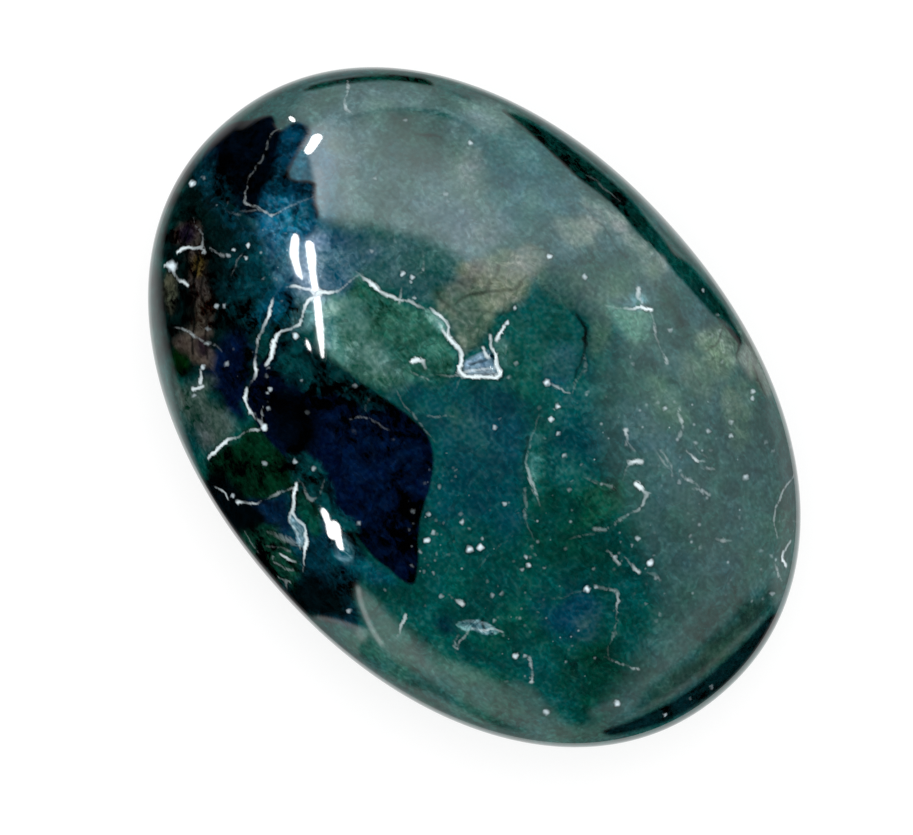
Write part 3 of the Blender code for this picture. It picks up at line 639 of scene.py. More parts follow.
    [(13.1, -0.8, 0.07, 0.25), (13.4, -0.3, 0.06, 0.3), (13.7, 0.2, 0.05, 0.25)],
    [(-5.8, -1.1, 0.18, 1), (-5.65, -0.75, 0.13, 0.95), (-5.4, -0.65, 0.11, 0.85), (-5.1, -0.8, 0.09, 0.5)],
    [(20.9, 15.4, 0.07, 0.5), (21.3, 13.9, 0.08, 0.55), (21.8, 12.8, 0.07, 0.5), (22.4, 12.1, 0.08, 0.5),
     (23.4, 11.5, 0.06, 0.4)],
    [(-2.45, 1.45, 0.1, 0.6), (-2.2, 1.9, 0.12, 0.7), (-1.9, 2.4, 0.12, 0.65), (-1.55, 2.9, 0.1, 0.6),
     (-1.2, 3.2, 0.08, 0.5)],
    [(-2.6, 2.2, 0.12, -0.7), (-2.4, 2.7, 0.14, -0.8), (-2.15, 3.15, 0.12, -0.6)],
    [(-1.5, 2.2, 0.1, -0.5), (-1.1, 2.6, 0.14, -0.6), (-0.85, 2.95, 0.12, -0.5)],
    [(-4.5, -3.9, 0.04, 0.25), (-3, -4.05, 0.05, 0.35), (-1.6, -4.1, 0.05, 0.3), (-0.3, -4.2, 0.04, 0.25)],
    [(-5, -1.8, 0.05, 0.3), (-4.3, -1.5, 0.06, 0.4)],
    [(-1.5, -3, 0.05, 0.3), (-1.1, -2.4, 0.06, 0.35), (-0.7, -2, 0.04, 0.25)],
    [(14.7, -10.25, 0.05, 0.5), (14.1, -11, 0.08, 0.7), (13.5, -11.5, 0.06, 0.5)],
    [(13.4, -10.75, 0.1, -0.6), (13.7, -10.95, 0.14, -0.8)],
    [(22.9, 12.4, 0.05, 0.25), (23.4, 13, 0.06, 0.25), (24, 13.6, 0.05, 0.2)],
    [(-25.9, 9.3, 0.07, 0.5), (-25.6, 9.1, 0.1, 0.6), (-25.3, 8.8, 0.06, 0.4), (-24.9, 8.1, 0.06, 0.4),
     (-24.6, 7.95, 0.1, 0.65), (-24.3, 7.9, 0.08, 0.5), (-23.6, 8, 0.04, 0.2)],
    [(-2.2, -19.5, 0.07, 0.25), (-1.7, -19, 0.1, 0.35), (-1.2, -18.7, 0.1, 0.4)],
    [(-0.9, -19.2, 0.11, 0.75), (-0.5, -19.1, 0.15, 0.9), (-0.25, -18.95, 0.07, 0.5)],
    [(-0.8, -19.95, 0.1, 0.4), (-0.2, -19.8, 0.12, 0.45), (0.2, -19.55, 0.1, 0.4)],
    [(0.3, -20.5, 0.1, 0.4), (0.7, -20.3, 0.14, 0.5), (1, -20.6, 0.09, 0.35)],
    [(-4.1, -20.3, 0.07, 0.35), (-3.4, -20.5, 0.1, 0.5), (-2.8, -20.5, 0.06, 0.35)],
    [(-3, -18.7, 0.15, 0.3), (-2.3, -18.4, 0.24, 0.42), (-1.6, -18, 0.24, 0.45), (-1, -17.8, 0.14, 0.35)],
    [(-5, 9.6, 0.1, -0.3), (-4.8, 9, 0.2, -0.5), (-4.9, 8.3, 0.12, -0.35), (-5.6, 7.5, 0.14, -0.4),
     (-6.2, 6.7, 0.18, -0.55), (-6.7, 5.9, 0.14, -0.5), (-7, 5.2, 0.12, -0.5), (-7.1, 4.5, 0.1, -0.4)],
    [(-6.9, 8.6, 0.16, -0.4), (-6.6, 8, 0.1, -0.15), (-6.5, 7.1, 0.18, -0.4), (-6, 6.9, 0.14, -0.35)],
    [(-9, 5.1, 0.12, -0.2), (-8.2, 5.6, 0.14, -0.3), (-7.4, 6, 0.12, -0.25)],
    [(-5.8, 4.9, 0.08, -0.2), (-5, 5.8, 0.14, -0.3), (-4.2, 6.3, 0.14, -0.35), (-3.9, 7.2, 0.16, -0.45)],
    [(-8.4, 3.7, 0.14, -0.4), (-7.6, 3.7, 0.14, -0.4), (-6.6, 3.8, 0.12, -0.3)],
    [(12, 18.95, 0.1, -0.4), (12.8, 18.7, 0.15, -0.6), (13.7, 18.35, 0.13, -0.6), (14.4, 18.1, 0.1, -0.4)],
    [(10.1, 19.2, 0.16, -0.8), (10.5, 18.6, 0.1, -0.6), (10.9, 18.2, 0.08, -0.4)],
    [(8.3, 19, 0.08, -0.4), (8.7, 18.4, 0.1, -0.5), (9, 17.6, 0.08, -0.4), (8.8, 17, 0.08, -0.4)],
    [(-7.2, 16.4, 0.06, -0.2), (-5.8, 17.1, 0.1, -0.35), (-4, 17.2, 0.1, -0.35), (-2.4, 16.8, 0.1, -0.3),
     (-1.2, 16.9, 0.12, -0.4)],
    [(-24.2, -8.3, 0.1, -0.8), (-22.6, -9.5, 0.16, -0.9), (-21, -10.9, 0.12, -0.7),
     (-19.6, -12.3, 0.16, -0.9), (-18, -13.9, 0.12, -0.8)],
    [(-25.4, -7.9, 0.12, -0.7), (-24, -9.3, 0.18, -0.9), (-22.4, -10.8, 0.14, -0.9),
     (-20.8, -12.3, 0.14, -0.8)],
    [(-23.6, -8.1, 0.1, -0.6), (-21.8, -9.6, 0.12, -0.7), (-20.2, -10.8, 0.1, -0.6),
     (-18.4, -12.2, 0.12, -0.7), (-17, -13.3, 0.1, -0.6)],
    [(-19.1, 10.9, 0.12, -0.4), (-18.6, 11.4, 0.2, -0.6), (-18.1, 11.9, 0.16, -0.5)],
    [(-7.6, 18.95, 0.1, 0.2), (-6.6, 19.1, 0.09, 0.3), (-5.6, 19.3, 0.08, 0.3), (-5, 19.4, 0.05, 0.2)],
]

# White specks: place, radius in mm, and how white they are.
specks = [
    (-15.9, 13.55, 0.22, 0.8), (-20.7, 10.85, 0.18, 0.45), (-18.8, 6, 0.17, 0.5), (-14.15, 9.4, 0.22, 0.5),
    (-13.6, 9.15, 0.14, 0.35), (-14.6, 2, 0.18, 0.5), (-14, 3.9, 0.24, 0.3), (-11.65, 2.65, 0.23, 0.85),
    (-10.95, 3.05, 0.2, 0.8), (-10.75, 2.75, 0.14, 0.6), (-9.6, 2.1, 0.17, 0.65), (-28, -5.25, 0.28, 1),
    (-27.75, -4.25, 0.2, 0.45), (-21.4, -5.1, 0.2, 0.9), (-20.75, -5.9, 0.18, 0.8),
    (-21.9, -6.2, 0.18, 0.8), (-21.8, -6.85, 0.18, 0.6), (-19, -9.7, 0.17, 0.6), (-19.4, -10.15, 0.19, 0.7),
    (-18.45, -11.9, 0.2, 0.45), (-17.6, -12.6, 0.22, 0.5), (-15.45, -12.6, 0.22, 0.6),
    (-13.5, -7, 0.26, 0.95), (-11.6, -11.3, 0.18, 0.75), (-11.55, -11.65, 0.16, 0.65),
    (-10.6, -12.35, 0.18, 0.6), (-12.6, -10.8, 0.2, 0.35), (-13, -10.3, 0.14, 0.4),
    (-16.45, -14.15, 0.21, 0.85), (-15.2, -16.2, 0.2, 0.6), (-9.68, -13.63, 0.3, 1),
    (-10.6, -12.35, 0.17, 0.6), (2.4, 5.6, 0.27, 1), (4.4, 5.05, 0.22, 0.95), (4.4, 4.65, 0.12, 0.4),
    (4.85, 3.95, 0.23, 0.9), (6.05, 3.65, 0.2, 0.7), (5.1, 7.6, 0.16, 0.35), (7.65, 2.9, 0.22, 0.65),
    (2.35, 0.2, 0.2, 0.7), (2.1, 0.9, 0.14, 0.3), (9.1, 3.4, 0.15, 0.35), (5.6, 2.6, 0.14, 0.3),
    (3.5, 3.9, 0.2, 0.25), (9.6, 2, 0.13, 0.3), (10, 1.35, 0.18, 0.45), (-0.35, 4.8, 0.2, 0.45),
    (0.1, 3.65, 0.2, 0.45), (-2, 13.4, 0.22, 0.75), (-5, 12.35, 0.22, 0.9), (-3.25, 6.35, 0.2, 0.9),
    (-3.75, 7.65, 0.19, 0.75), (5.7, 15.75, 0.2, 0.55), (13.7, 17.5, 0.2, 0.75), (14.1, 17.1, 0.18, 0.7),
    (14.4, 14.6, 0.21, 0.6), (15.2, 13.85, 0.2, 0.65), (13.7, 12.75, 0.2, 0.65), (13.8, 11.4, 0.19, 0.5),
    (15, 11.9, 0.18, 0.3), (10.1, 11.4, 0.22, 0.7), (5.8, 11.75, 0.15, 0.35), (18.45, 12.6, 0.26, 0.75),
    (17.2, 9.2, 0.15, 0.4), (15.7, 9.2, 0.15, 0.35), (15.4, 8.9, 0.14, 0.35), (15.25, 8.35, 0.18, 0.45),
    (20.3, 6.2, 0.18, 0.35), (20.5, 10.1, 0.15, 0.3), (16.5, 2.95, 0.22, 0.7), (18.3, 3.05, 0.15, 0.35),
    (18.6, 2.4, 0.26, 1), (18.7, 1.85, 0.12, 0.4), (16.4, 0.6, 0.2, 0.65), (15.8, 1.7, 0.13, 0.35),
    (21.2, 1.65, 0.13, 0.3), (22.2, 0.3, 0.15, 0.35), (22.4, -0.25, 0.15, 0.3), (24.5, 10, 0.18, 0.45),
    (24.8, 8.7, 0.15, 0.35), (26.8, 8.1, 0.2, 0.55), (26.6, 7.3, 0.17, 0.35), (16.85, -2.75, 0.27, 1),
    (17.2, -2.1, 0.18, 0.6), (16, -1.3, 0.18, 0.4), (25.3, -6.9, 0.26, 0.95), (17.15, -10.5, 0.26, 0.9),
    (17.65, -9.95, 0.17, 0.6), (22.1, -11.6, 0.26, 0.8), (28.45, -4.65, 0.16, 0.7),
    (29.25, -0.4, 0.18, 0.4), (28.8, -2.3, 0.12, 0.3), (13.95, -9.95, 0.16, 0.5), (9.65, -11.85, 0.2, 0.55),
    (9.4, -13.3, 0.15, 0.25), (7.9, -11.1, 0.18, 0.45), (7.3, -11.6, 0.16, 0.35), (6.35, -12, 0.2, 0.35),
    (6.4, -14.9, 0.15, 0.35), (18.2, -12.4, 0.18, 0.25), (5.75, -18.15, 0.22, 0.65),
    (5.8, -6.4, 0.18, 0.35), (6.35, -6.7, 0.22, 0.75), (7.1, -6.65, 0.17, 0.4), (8.4, -6.4, 0.17, 0.55),
    (8.8, -6.95, 0.26, 1), (8.35, -7.7, 0.28, 1), (7.45, -3.2, 0.2, 0.7), (3, -6.25, 0.2, 0.45),
    (4.1, -8.3, 0.2, 0.65), (4.9, -8.2, 0.16, 0.3), (5.4, -7.9, 0.13, 0.3), (5.5, -9, 0.2, 0.65),
    (5.6, -9.8, 0.25, 0.95), (3.1, -9.1, 0.2, 0.35), (4, -10.3, 0.16, 0.25), (5.95, -10.8, 0.18, 0.5),
    (7.1, -11, 0.16, 0.25), (9.2, -2.6, 0.18, 0.35), (8.7, -2.95, 0.13, 0.2), (11.75, -4.7, 0.18, 0.7),
    (12.4, -5, 0.22, 0.85), (12.3, -5.6, 0.18, 0.55), (12.1, -4.1, 0.13, 0.3), (13.35, -4.2, 0.15, 0.4),
    (12.7, -8.1, 0.18, 0.45), (12.3, -8.75, 0.2, 0.55), (12, -7.9, 0.13, 0.25), (7.6, -9.25, 0.15, 0.25),
    (2.9, -4.4, 0.13, 0.3), (3.2, -4.8, 0.13, 0.3), (1, -13, 0.2, 0.6), (-4.6, -12.8, 0.22, 0.65),
    (-6, -13.6, 0.21, 0.7), (-7.5, -15.55, 0.22, 0.6), (-7.4, -6, 0.22, 0.45), (-8.3, -10.3, 0.2, 0.25),
    (-2.2, -6.5, 0.16, 0.2), (-4.7, -8.5, 0.18, 0.15), (-7.2, -19.1, 0.17, 0.75), (-1.4, -19.9, 0.12, 0.4),
    (5, 19.8, 0.18, 0.6), (7.3, 19.4, 0.15, 0.4), (-25, -4.1, 0.14, 0.2), (-24.15, -10.75, 0.42, 1),
    (16.6, 2.2, 0.14, 0.45), (17.4, 15.6, 0.16, 0.35), (18.3, 15.6, 0.16, 0.35), (19, 16.9, 0.16, 0.35),
    (15.6, 9.05, 0.18, 0.5), (17, 9.26, 0.2, 0.5), (19.1, 6.2, 0.18, 0.4), (23.7, 9.7, 0.16, 0.35),
    (19.8, 2, 0.18, 0.45), (20.8, 0, 0.14, 0.35), (9.4, 11.2, 0.14, 0.4), (14.66, 9, 0.16, 0.4),
    (15.9, 10.8, 0.16, 0.4), (5.2, 12, 0.16, 0.35), (8.3, 18.7, 0.2, 0.4), (8.2, 17.9, 0.18, 0.35),
    (9, 18.3, 0.18, 0.35), (9.8, 17.8, 0.16, 0.35), (10.3, 17.2, 0.18, 0.4), (6.9, -9.9, 0.14, 0.35),
    (11.2, -8.3, 0.14, 0.3), (14.9, -8.4, 0.14, 0.3), (15.7, -6.9, 0.13, 0.25), (-17.9, -5.2, 0.16, 0.4),
    (-18.6, -5.9, 0.14, 0.35), (-16.3, -6, 0.13, 0.3), (-21.6, -3.4, 0.14, 0.35), (-20.7, -3, 0.13, 0.3),
    (-20.2, -2.2, 0.13, 0.3),
]

# Where the crown is peppered with specks too many to place, and what share of the cells there hold one.
dusty = [
    (oval(5.5, -7.5, 5.0, 4.0, -30), 0.9), (oval(17, 1.5, 4.0, 2.5), 0.8), (oval(11, 8.5, 7.5, 4.5, 20), 0.6),
    (oval(-13, -11, 3.0, 2.5, -40), 0.4), (oval(-22, -7, 4.0, 2.5, -30), 0.4), (oval(13, -6, 9.0, 6.0), 0.5),
    (oval(-17.5, -2.6, 3.4, 1.8, -25), 0.8), (oval(22, 8, 4.0, 5.0), 0.45),
]


# The stone itself
stoneNoise = {"drift": 11 * mm, "cloud": 3.4 * mm, "mottle": 1.5 * mm}  # kept on its vertices: name and scale


def pillowTree():
    # a box of faces, rounded into the pillow that it was ground to
    tree = bpy.data.node_groups.new("agate pillow", "GeometryNodeTree")
    tree.interface.new_socket("stone", in_out="OUTPUT", socket_type="NodeSocketGeometry")
    for name, value in stoneShape.items():
        kind = "NodeSocketInt" if isinstance(value, int) else "NodeSocketFloat"
        tree.interface.new_socket(name, in_out="INPUT", socket_type=kind)
    tree.interface.new_socket("material", in_out="INPUT", socket_type="NodeSocketMaterial")
    add = functools.partial(addNode, tree)
    given = add("NodeGroupInput").outputs

    faces = add("ShaderNodeMath", {0: given["facesPerEdge"], 1: 1}, operation="ADD")
    box = add("GeometryNodeMeshCube", {"Size": (2, 2, 2), **{f"Vertices {axis}": faces for axis in "XYZ"}})
    place = add("GeometryNodeInputPosition")
    eighth = add("ShaderNodeVectorMath", {0: place, "Scale": math.pi / 4}, operation="SCALE")
    even = add("ShaderNodeVectorMath", {0: eighth}, operation="TANGENT")  # spaces the faces evenly
    size = add("ShaderNodeVectorMath", {0: even}, operation="ABSOLUTE")
    size = add("ShaderNodeSeparateXYZ", {0: size}).outputs
    plan = [add("ShaderNodeMath", {0: size[axis], 1: given["planPower"]}, operation="POWER") for axis in "XY"]
    plan = add("ShaderNodeMath", {0: plan[0], 1: plan[1]}, operation="ADD")
    powers = add("ShaderNodeMath", {0: given["sidePower"], 1: given["planPower"]}, operation="DIVIDE")
    plan = add("ShaderNodeMath", {0: plan, 1: powers}, operation="POWER")
    tall = add("ShaderNodeMath", {0: size["Z"], 1: given["sidePower"]}, operation="POWER")
    reach = add("ShaderNodeMath", {0: plan, 1: tall}, operation="ADD")
    shrink = add("ShaderNodeMath", {0: -1.0, 1: given["sidePower"]}, operation="DIVIDE")
    shrink = add("ShaderNodeMath", {0: reach, 1: shrink}, operation="POWER")
    unit = add("ShaderNodeVectorMath", {0: even, "Scale": shrink}, operation="SCALE")
    share = add("ShaderNodeSeparateXYZ", {0: unit}).outputs["Z"]
    above = add("ShaderNodeMath", {0: share, 1: 0.0}, operation="GREATER_THAN")
    dome = add("ShaderNodeMix", {0: above, 2: given["belly"], 3: given["crown"]})
    halves = add("ShaderNodeVectorMath", {0: unit, 1: (0.5, 0.5, 1.0)}, operation="MULTIPLY")
    sizes = add("ShaderNodeCombineXYZ", {0: given["length"], 1: given["width"], 2: dome})
    point = add("ShaderNodeVectorMath", {0: halves, 1: sizes}, operation="MULTIPLY")
    point = add("ShaderNodeSeparateXYZ", {0: point}).outputs
    swell = given["waveHeight"]
    for axis, curve in (("X", "SINE"), ("Y", "COSINE")):
        waves = add("ShaderNodeMath", {0: 2 * math.pi, 1: given["waveLength" + axis]}, operation="DIVIDE")
        angle = add("ShaderNodeMath", {0: point[axis], 1: waves, 2: given["waveStart" + axis]},
                    operation="MULTIPLY_ADD")
        swing = add("ShaderNodeMath", {0: angle}, operation=curve)
        swell = add("ShaderNodeMath", {0: swing, 1: swell}, operation="MULTIPLY")
    fade = add("ShaderNodeMath", {0: share, 1: share}, operation="MULTIPLY")
    height = add("ShaderNodeMath", {0: swell, 1: fade, 2: point["Z"]}, operation="MULTIPLY_ADD")
    foot = add("ShaderNodeMath", {0: given["belly"], 1: given["footCut"]}, operation="SUBTRACT")
    height = add("ShaderNodeMath", {0: height, 1: foot}, operation="ADD")
    height = add("ShaderNodeMath", {0: height, 1: 0.0}, operation="MAXIMUM")
    ground = add("ShaderNodeCombineXYZ", {0: point["X"], 1: point["Y"], 2: height})
    last = add("GeometryNodeSetPosition", {"Geometry": box, "Position": ground})
    for name, scale in stoneNoise.items():
        noise = add("ShaderNodeTexNoise", {"Vector": place, "Scale": 1 / scale, "Detail": 4.0})
        around = add("ShaderNodeVectorMath", {0: noise.outputs["Color"], 1: (0.5, 0.5, 0.5)},
                     operation="SUBTRACT")
        last = add("GeometryNodeStoreNamedAttribute", {"Geometry": last, "Name": name, "Value": around},
                   data_type="FLOAT_VECTOR", domain="POINT")
    last = add("GeometryNodeSetShadeSmooth", {"Geometry": last})
    last = add("GeometryNodeRealizeInstances", {0: last})
    last = add("GeometryNodeSetMaterial", {"Geometry": last, "Material": given["material"]})
    add("NodeGroupOutput", {0: last})
    return tree


def makePillow(material):
    blank = addObject("pillow", bpy.data.meshes.new("pillow"))
    nodes = blank.modifiers.new("pillow", "NODES")
    nodes.node_group = pillowTree()
    for item in nodes.node_group.interface.items_tree:
        if item.in_out == "INPUT":
            nodes[item.identifier] = stoneShape.get(item.name, material)
    mesh = bpy.data.meshes.new_from_object(blank.evaluated_get(bpy.context.evaluated_depsgraph_get()))
    bpy.data.objects.remove(blank)
    mesh.name = "polishedStone"
    return addObject("polishedStone", mesh)


def readPoints(data, key="vector"):
    values = np.zeros(len(data) * 3, np.float32)
    data.foreach_get(key, values)
    return values.reshape(-1, 3).astype(float)


def storeFloat(mesh, name, values):
    mesh.attributes.new(name, "FLOAT", "POINT").data.foreach_set("value", values.astype(np.float32))


def storeColour(mesh, name, values):
    attribute = mesh.attributes.new(name, "FLOAT_COLOR", "POINT")
    attribute.data.foreach_set("color", values.astype(np.float32).ravel())


def pillowPoint(directions):
    # where rays from the girdle's centre leave the pillow, in metres
    size = np.abs(directions)
    plan = (size[:, 0] ** planPower + size[:, 1] ** planPower) ** (sidePower / planPower)
    unit = directions / ((plan + size[:, 2] ** sidePower) ** (1 / sidePower))[:, None]
    dome = np.where(unit[:, 2] > 0, stoneShape["crown"], stoneShape["belly"])
    x, y = unit[:, 0] * halfLength, unit[:, 1] * halfWidth
    height = girdle + unit[:, 2] * dome + wave(x, y, unit[:, 2])
    return np.column_stack([x, y, np.maximum(height, 0.0)])


# The photograph doesn't show the sides and the underside, so their cracks are drawn at random. step and
# top are shares of the stone's size, and width (in mm), white and swell are ranges.
hiddenCracks = {
    "seed": 20, "count": 34, "shortest": 8, "longest": 34, "step": 0.055, "swerve": 0.55, "top": 0.02,
    "width": (0.06, 0.17), "white": (0.3, 1.0), "swell": (0.6, 1.4),
}


def wanderingCracks():
    draw = np.random.default_rng(hiddenCracks["seed"])
    routes = []
    for _ in range(hiddenCracks["count"]):
        direction = draw.normal(size=3)
        direction[2] = -abs(direction[2]) * 0.8 - 0.1  # starts below the girdle, and well round the side
        heading = draw.normal(size=3)
        width, white = draw.uniform(*hiddenCracks["width"]), draw.uniform(*hiddenCracks["white"])
        points = []
        for _ in range(draw.integers(hiddenCracks["shortest"], hiddenCracks["longest"])):
            direction /= np.linalg.norm(direction)
            if direction[2] > hiddenCracks["top"]:
                break
            points.append(direction.copy())
            heading += draw.normal(size=3) * hiddenCracks["swerve"]
            heading -= direction * (heading @ direction)
            heading /= np.linalg.norm(heading)
            direction = direction + heading * hiddenCracks["step"]
        if len(points) > 3:
            widths, whites = draw.uniform(*hiddenCracks["swell"], (2, len(points)))
            routes.append((pillowPoint(np.array(points)) / mm, width * widths, white * whites.clip(0, 1)))
    return routes


seenToShare = 2.1  # turns how white a mark looks into its share of quartz white
# How far the cracks' stretches bow, how their width varies, and how far apart marks of one layer are, in mm.
healing = {"seed": 7, "bend": 0.16, "swell": 0.25, "apart": 1.3, "specksApart": 1.7}


def jagged(route, draw):
    # gives each stretch a bent middle, because no crack in agate runs quite straight
    route = np.array(route, float)
    along = route[1:, :2] - route[:-1, :2]
    middles = (route[:-1] + route[1:]) / 2
    bend = draw.uniform(-healing["bend"], healing["bend"], (len(along), 1))
    middles[:, :2] += np.column_stack([-along[:, 1], along[:, 0]]) * bend
    middles[:, 2] *= draw.uniform(1 - healing["swell"], 1 + healing["swell"], len(along))
    result = np.empty((len(route) + len(middles), 4))
    result[0::2], result[1::2] = route, middles
    return result


def seenCracks():
    draw = np.random.default_rng(healing["seed"])
    routes = [jagged(route, draw) for route in cracks]
    return [(onCrown(route[:, :2]) / mm, route[:, 2], route[:, 3]) for route in routes]


def inLayers(marks, apart):
    # Each layer keeps only its nearest mark at a vertex, so marks that lie close together go in different
    # layers. A mark is its places, one row each, and then what else describes it.
    layers = []
    for mark in marks:
        for layer in layers:
            gaps = [np.linalg.norm(mark[0][:, None] - other[0][None], axis=2).min() for other in layer]
            if min(gaps) > apart:
                layer.append(mark)
                break
        else:
            layers.append([mark])
    return layers


crackLayers = inLayers(seenCracks() + wanderingCracks(), healing["apart"])
speckLayers = inLayers([(np.array([[x, y]]), *rest) for x, y, *rest in specks], healing["specksApart"])


def crackField(layer, places, normals, reach=1.2):
    # each vertex's offset to the side of the nearest crack, its distance, and that crack's width and
    # whiteness
    field = np.tile((reach, reach, 0.1, 0.0), (len(places), 1))
    for route, widths, whites in layer:
        near = np.all((places > route.min(0) - reach) & (places < route.max(0) + reach), axis=1)
        near = np.flatnonzero(near)
        spots, outward = places[near], normals[near]
        for i, edge in enumerate(route[1:] - route[:-1]):
            length = max(np.linalg.norm(edge), 1e-6)
            share = np.clip((spots - route[i]) @ edge / length**2, 0, 1)
            gap = np.linalg.norm(spots - route[i] - share[:, None] * edge, axis=1)
            closer = gap < field[near, 1]
            chosen, share = near[closer], share[closer]
            across = np.cross(edge / length, outward[closer])
            across /= np.linalg.norm(across, axis=1)[:, None] + 1e-9
            field[chosen, 0] = ((spots[closer] - route[i]) * across).sum(1)
            field[chosen, 1] = gap[closer]
            field[chosen, 2] = widths[i] + (widths[i + 1] - widths[i]) * share
            field[chosen, 3] = whites[i] + (whites[i + 1] - whites[i]) * share
    field[:, 3] = np.where(field[:, 3] > 0, np.abs(field[:, 3]) ** seenToShare, field[:, 3])
    return field


def speckField(layer, spots, reach=1.5):
    # each vertex's offset from the nearest speck, and that speck's radius and whiteness; and its distance
    field, gap = np.tile((reach, reach, 0.1, 0.0), (len(spots), 1)), np.full(len(spots), reach)
    for middle, size, white in layer:
        away = spots - middle
        distance = np.linalg.norm(away, axis=1)
        closer = distance < gap
        gap[closer], field[closer, :2] = distance[closer], away[closer]
        field[closer, 2:] = size, white**seenToShare
    return field, gap


def layZones(stain, layers, spots, mottle):
    # stain holds each vertex's dark and light colour; every zone covers what lies under it
    for number, (soft, wobble, contrast, dark, light, outline) in enumerate(layers.values()):
        inside = insideBy(outline, spots) + 2 * wobble * mottle[:, number % 3]
        share = ease(inside, -soft, soft)[:, None, None]
        stain += share * (np.array([linear(dark, contrast), linear(light)]) - stain)


openFlaws = {"vugFloor": 0.35, "rawPatch": 0.18}  # how deep the polish left them, in mm
# The zones run through the stone, so the underside has them too: shifted by so many mm, and bent by
# the drifting noise, which bends those of the crown a little. Fine dust is all over it.
underside = {"shift": (3.0, -2.5), "bend": 34.0, "crownBend": 0.3, "dust": 0.45}


def markStone(stone):
    mesh = stone.data
    places = readPoints(mesh.vertices, "co")
    normals = readPoints(mesh.vertex_normals)
    drift, cloud, mottle = (readPoints(mesh.attributes[name].data) for name in stoneNoise)
    below = np.clip((girdle - places[:, 2]) / girdle, 0, 1)
    spots = pictureOf(places)
    spots += drift[:, :2] * (underside["crownBend"] + underside["bend"] * below)[:, None]
    spots += np.outer(below, underside["shift"])
    stain = np.tile(np.array([linear(code) for code in agateLook["base"]]), (len(spots), 1, 1))
    layZones(stain, paleZones, spots, mottle)
    for code, part, amount in tints:
        share = (amount * ease(cloud[:, part], 0.0, 0.16))[:, None]
        stain[:, 1] += share * (np.array(linear(code)) - stain[:, 1])
    layZones(stain, darkZones, spots, mottle)
    storeColour(mesh, "stainDark", stain[:, 0])
    storeColour(mesh, "stainLight", stain[:, 1])
    for name, (*_, outline) in crispZones.items():
        inside = insideBy(outline, spots)
        storeFloat(mesh, name, inside)
        if name in openFlaws:
            depth = openFlaws[name] * mm * ease(inside, -0.1, 0.5) * (places[:, 2] > girdle)
            places -= normals * depth[:, None]
    dust = underside["dust"] * ease(below, 0.0, 0.2)
    for outline, amount in dusty:
        dust = np.maximum(dust, amount * ease(insideBy(outline, spots), -1.5, 1.5))
    storeFloat(mesh, "dust", dust)
    for number, layer in enumerate(crackLayers):
        storeColour(mesh, f"crack{number}", crackField(layer, places / mm, normals))
    farAway = 100.0  # keeps the placed specks off the underside
    crownOnly = np.where((places[:, 2] < girdle)[:, None], farAway, pictureOf(places))
    for number, layer in enumerate(speckLayers):
        field, gap = speckField(layer, crownOnly)
        storeColour(mesh, f"speck{number}", field)
        storeFloat(mesh, f"speckGap{number}", gap)
    places[:, 2] = np.minimum(places[:, 2], highCorner.z)
    mesh.vertices.foreach_set("co", places.astype(np.float32).ravel())
    for name in stoneNoise:
        mesh.attributes.remove(mesh.attributes[name])
    mesh.update()


# Sizes are in mm. Light wisps and dark veins run where the mottling has the first number, and the
# second is how much brighter they are than the agate.
agateLook = {
    "base": ("#002a28", "#034e4b"), "quartz": "#d9e8ec", "speck": "#d4e6ee", "shade": "#000303",
    "cloudMm": 4.2, "mottleMm": 1.25, "fibreMm": 0.42, "grainMm": 0.33, "dustMm": 0.60,
    "wisp": (0.54, 0.22), "vein": (0.44, -0.30), "grain": 0.41, "frost": 0.7,
    "roughness": 0.03, "markRoughness": 0.3, "ior": 1.54,
}
# How far the mottling bends a crack, the grain frays it and the grain bends a speck, in mm, how dark
# the painted shade beside a crack and in the ring round a speck is, and each grain of dust: how many, size
# and light.
markLook = {
    "bend": 0.24, "fray": 0.07, "ragged": 0.30, "paintedShadeBeside": 0.40, "ring": 0.40,
    "dustShare": 0.6, "dustSize": (0.14, 0.22), "dustLight": (0.05, 0.4),
}
smoothStep = {"interpolation_type": "SMOOTHSTEP"}
ofColours = {"data_type": "RGBA"}
pastItsEnds = {"data_type": "RGBA", "clamp_factor": False}


def newMaterial(name):
    material = bpy.data.materials.new(name)
    material.use_nodes = True
    material.node_tree.nodes.clear()
    return material, functools.partial(addNode, material.node_tree)


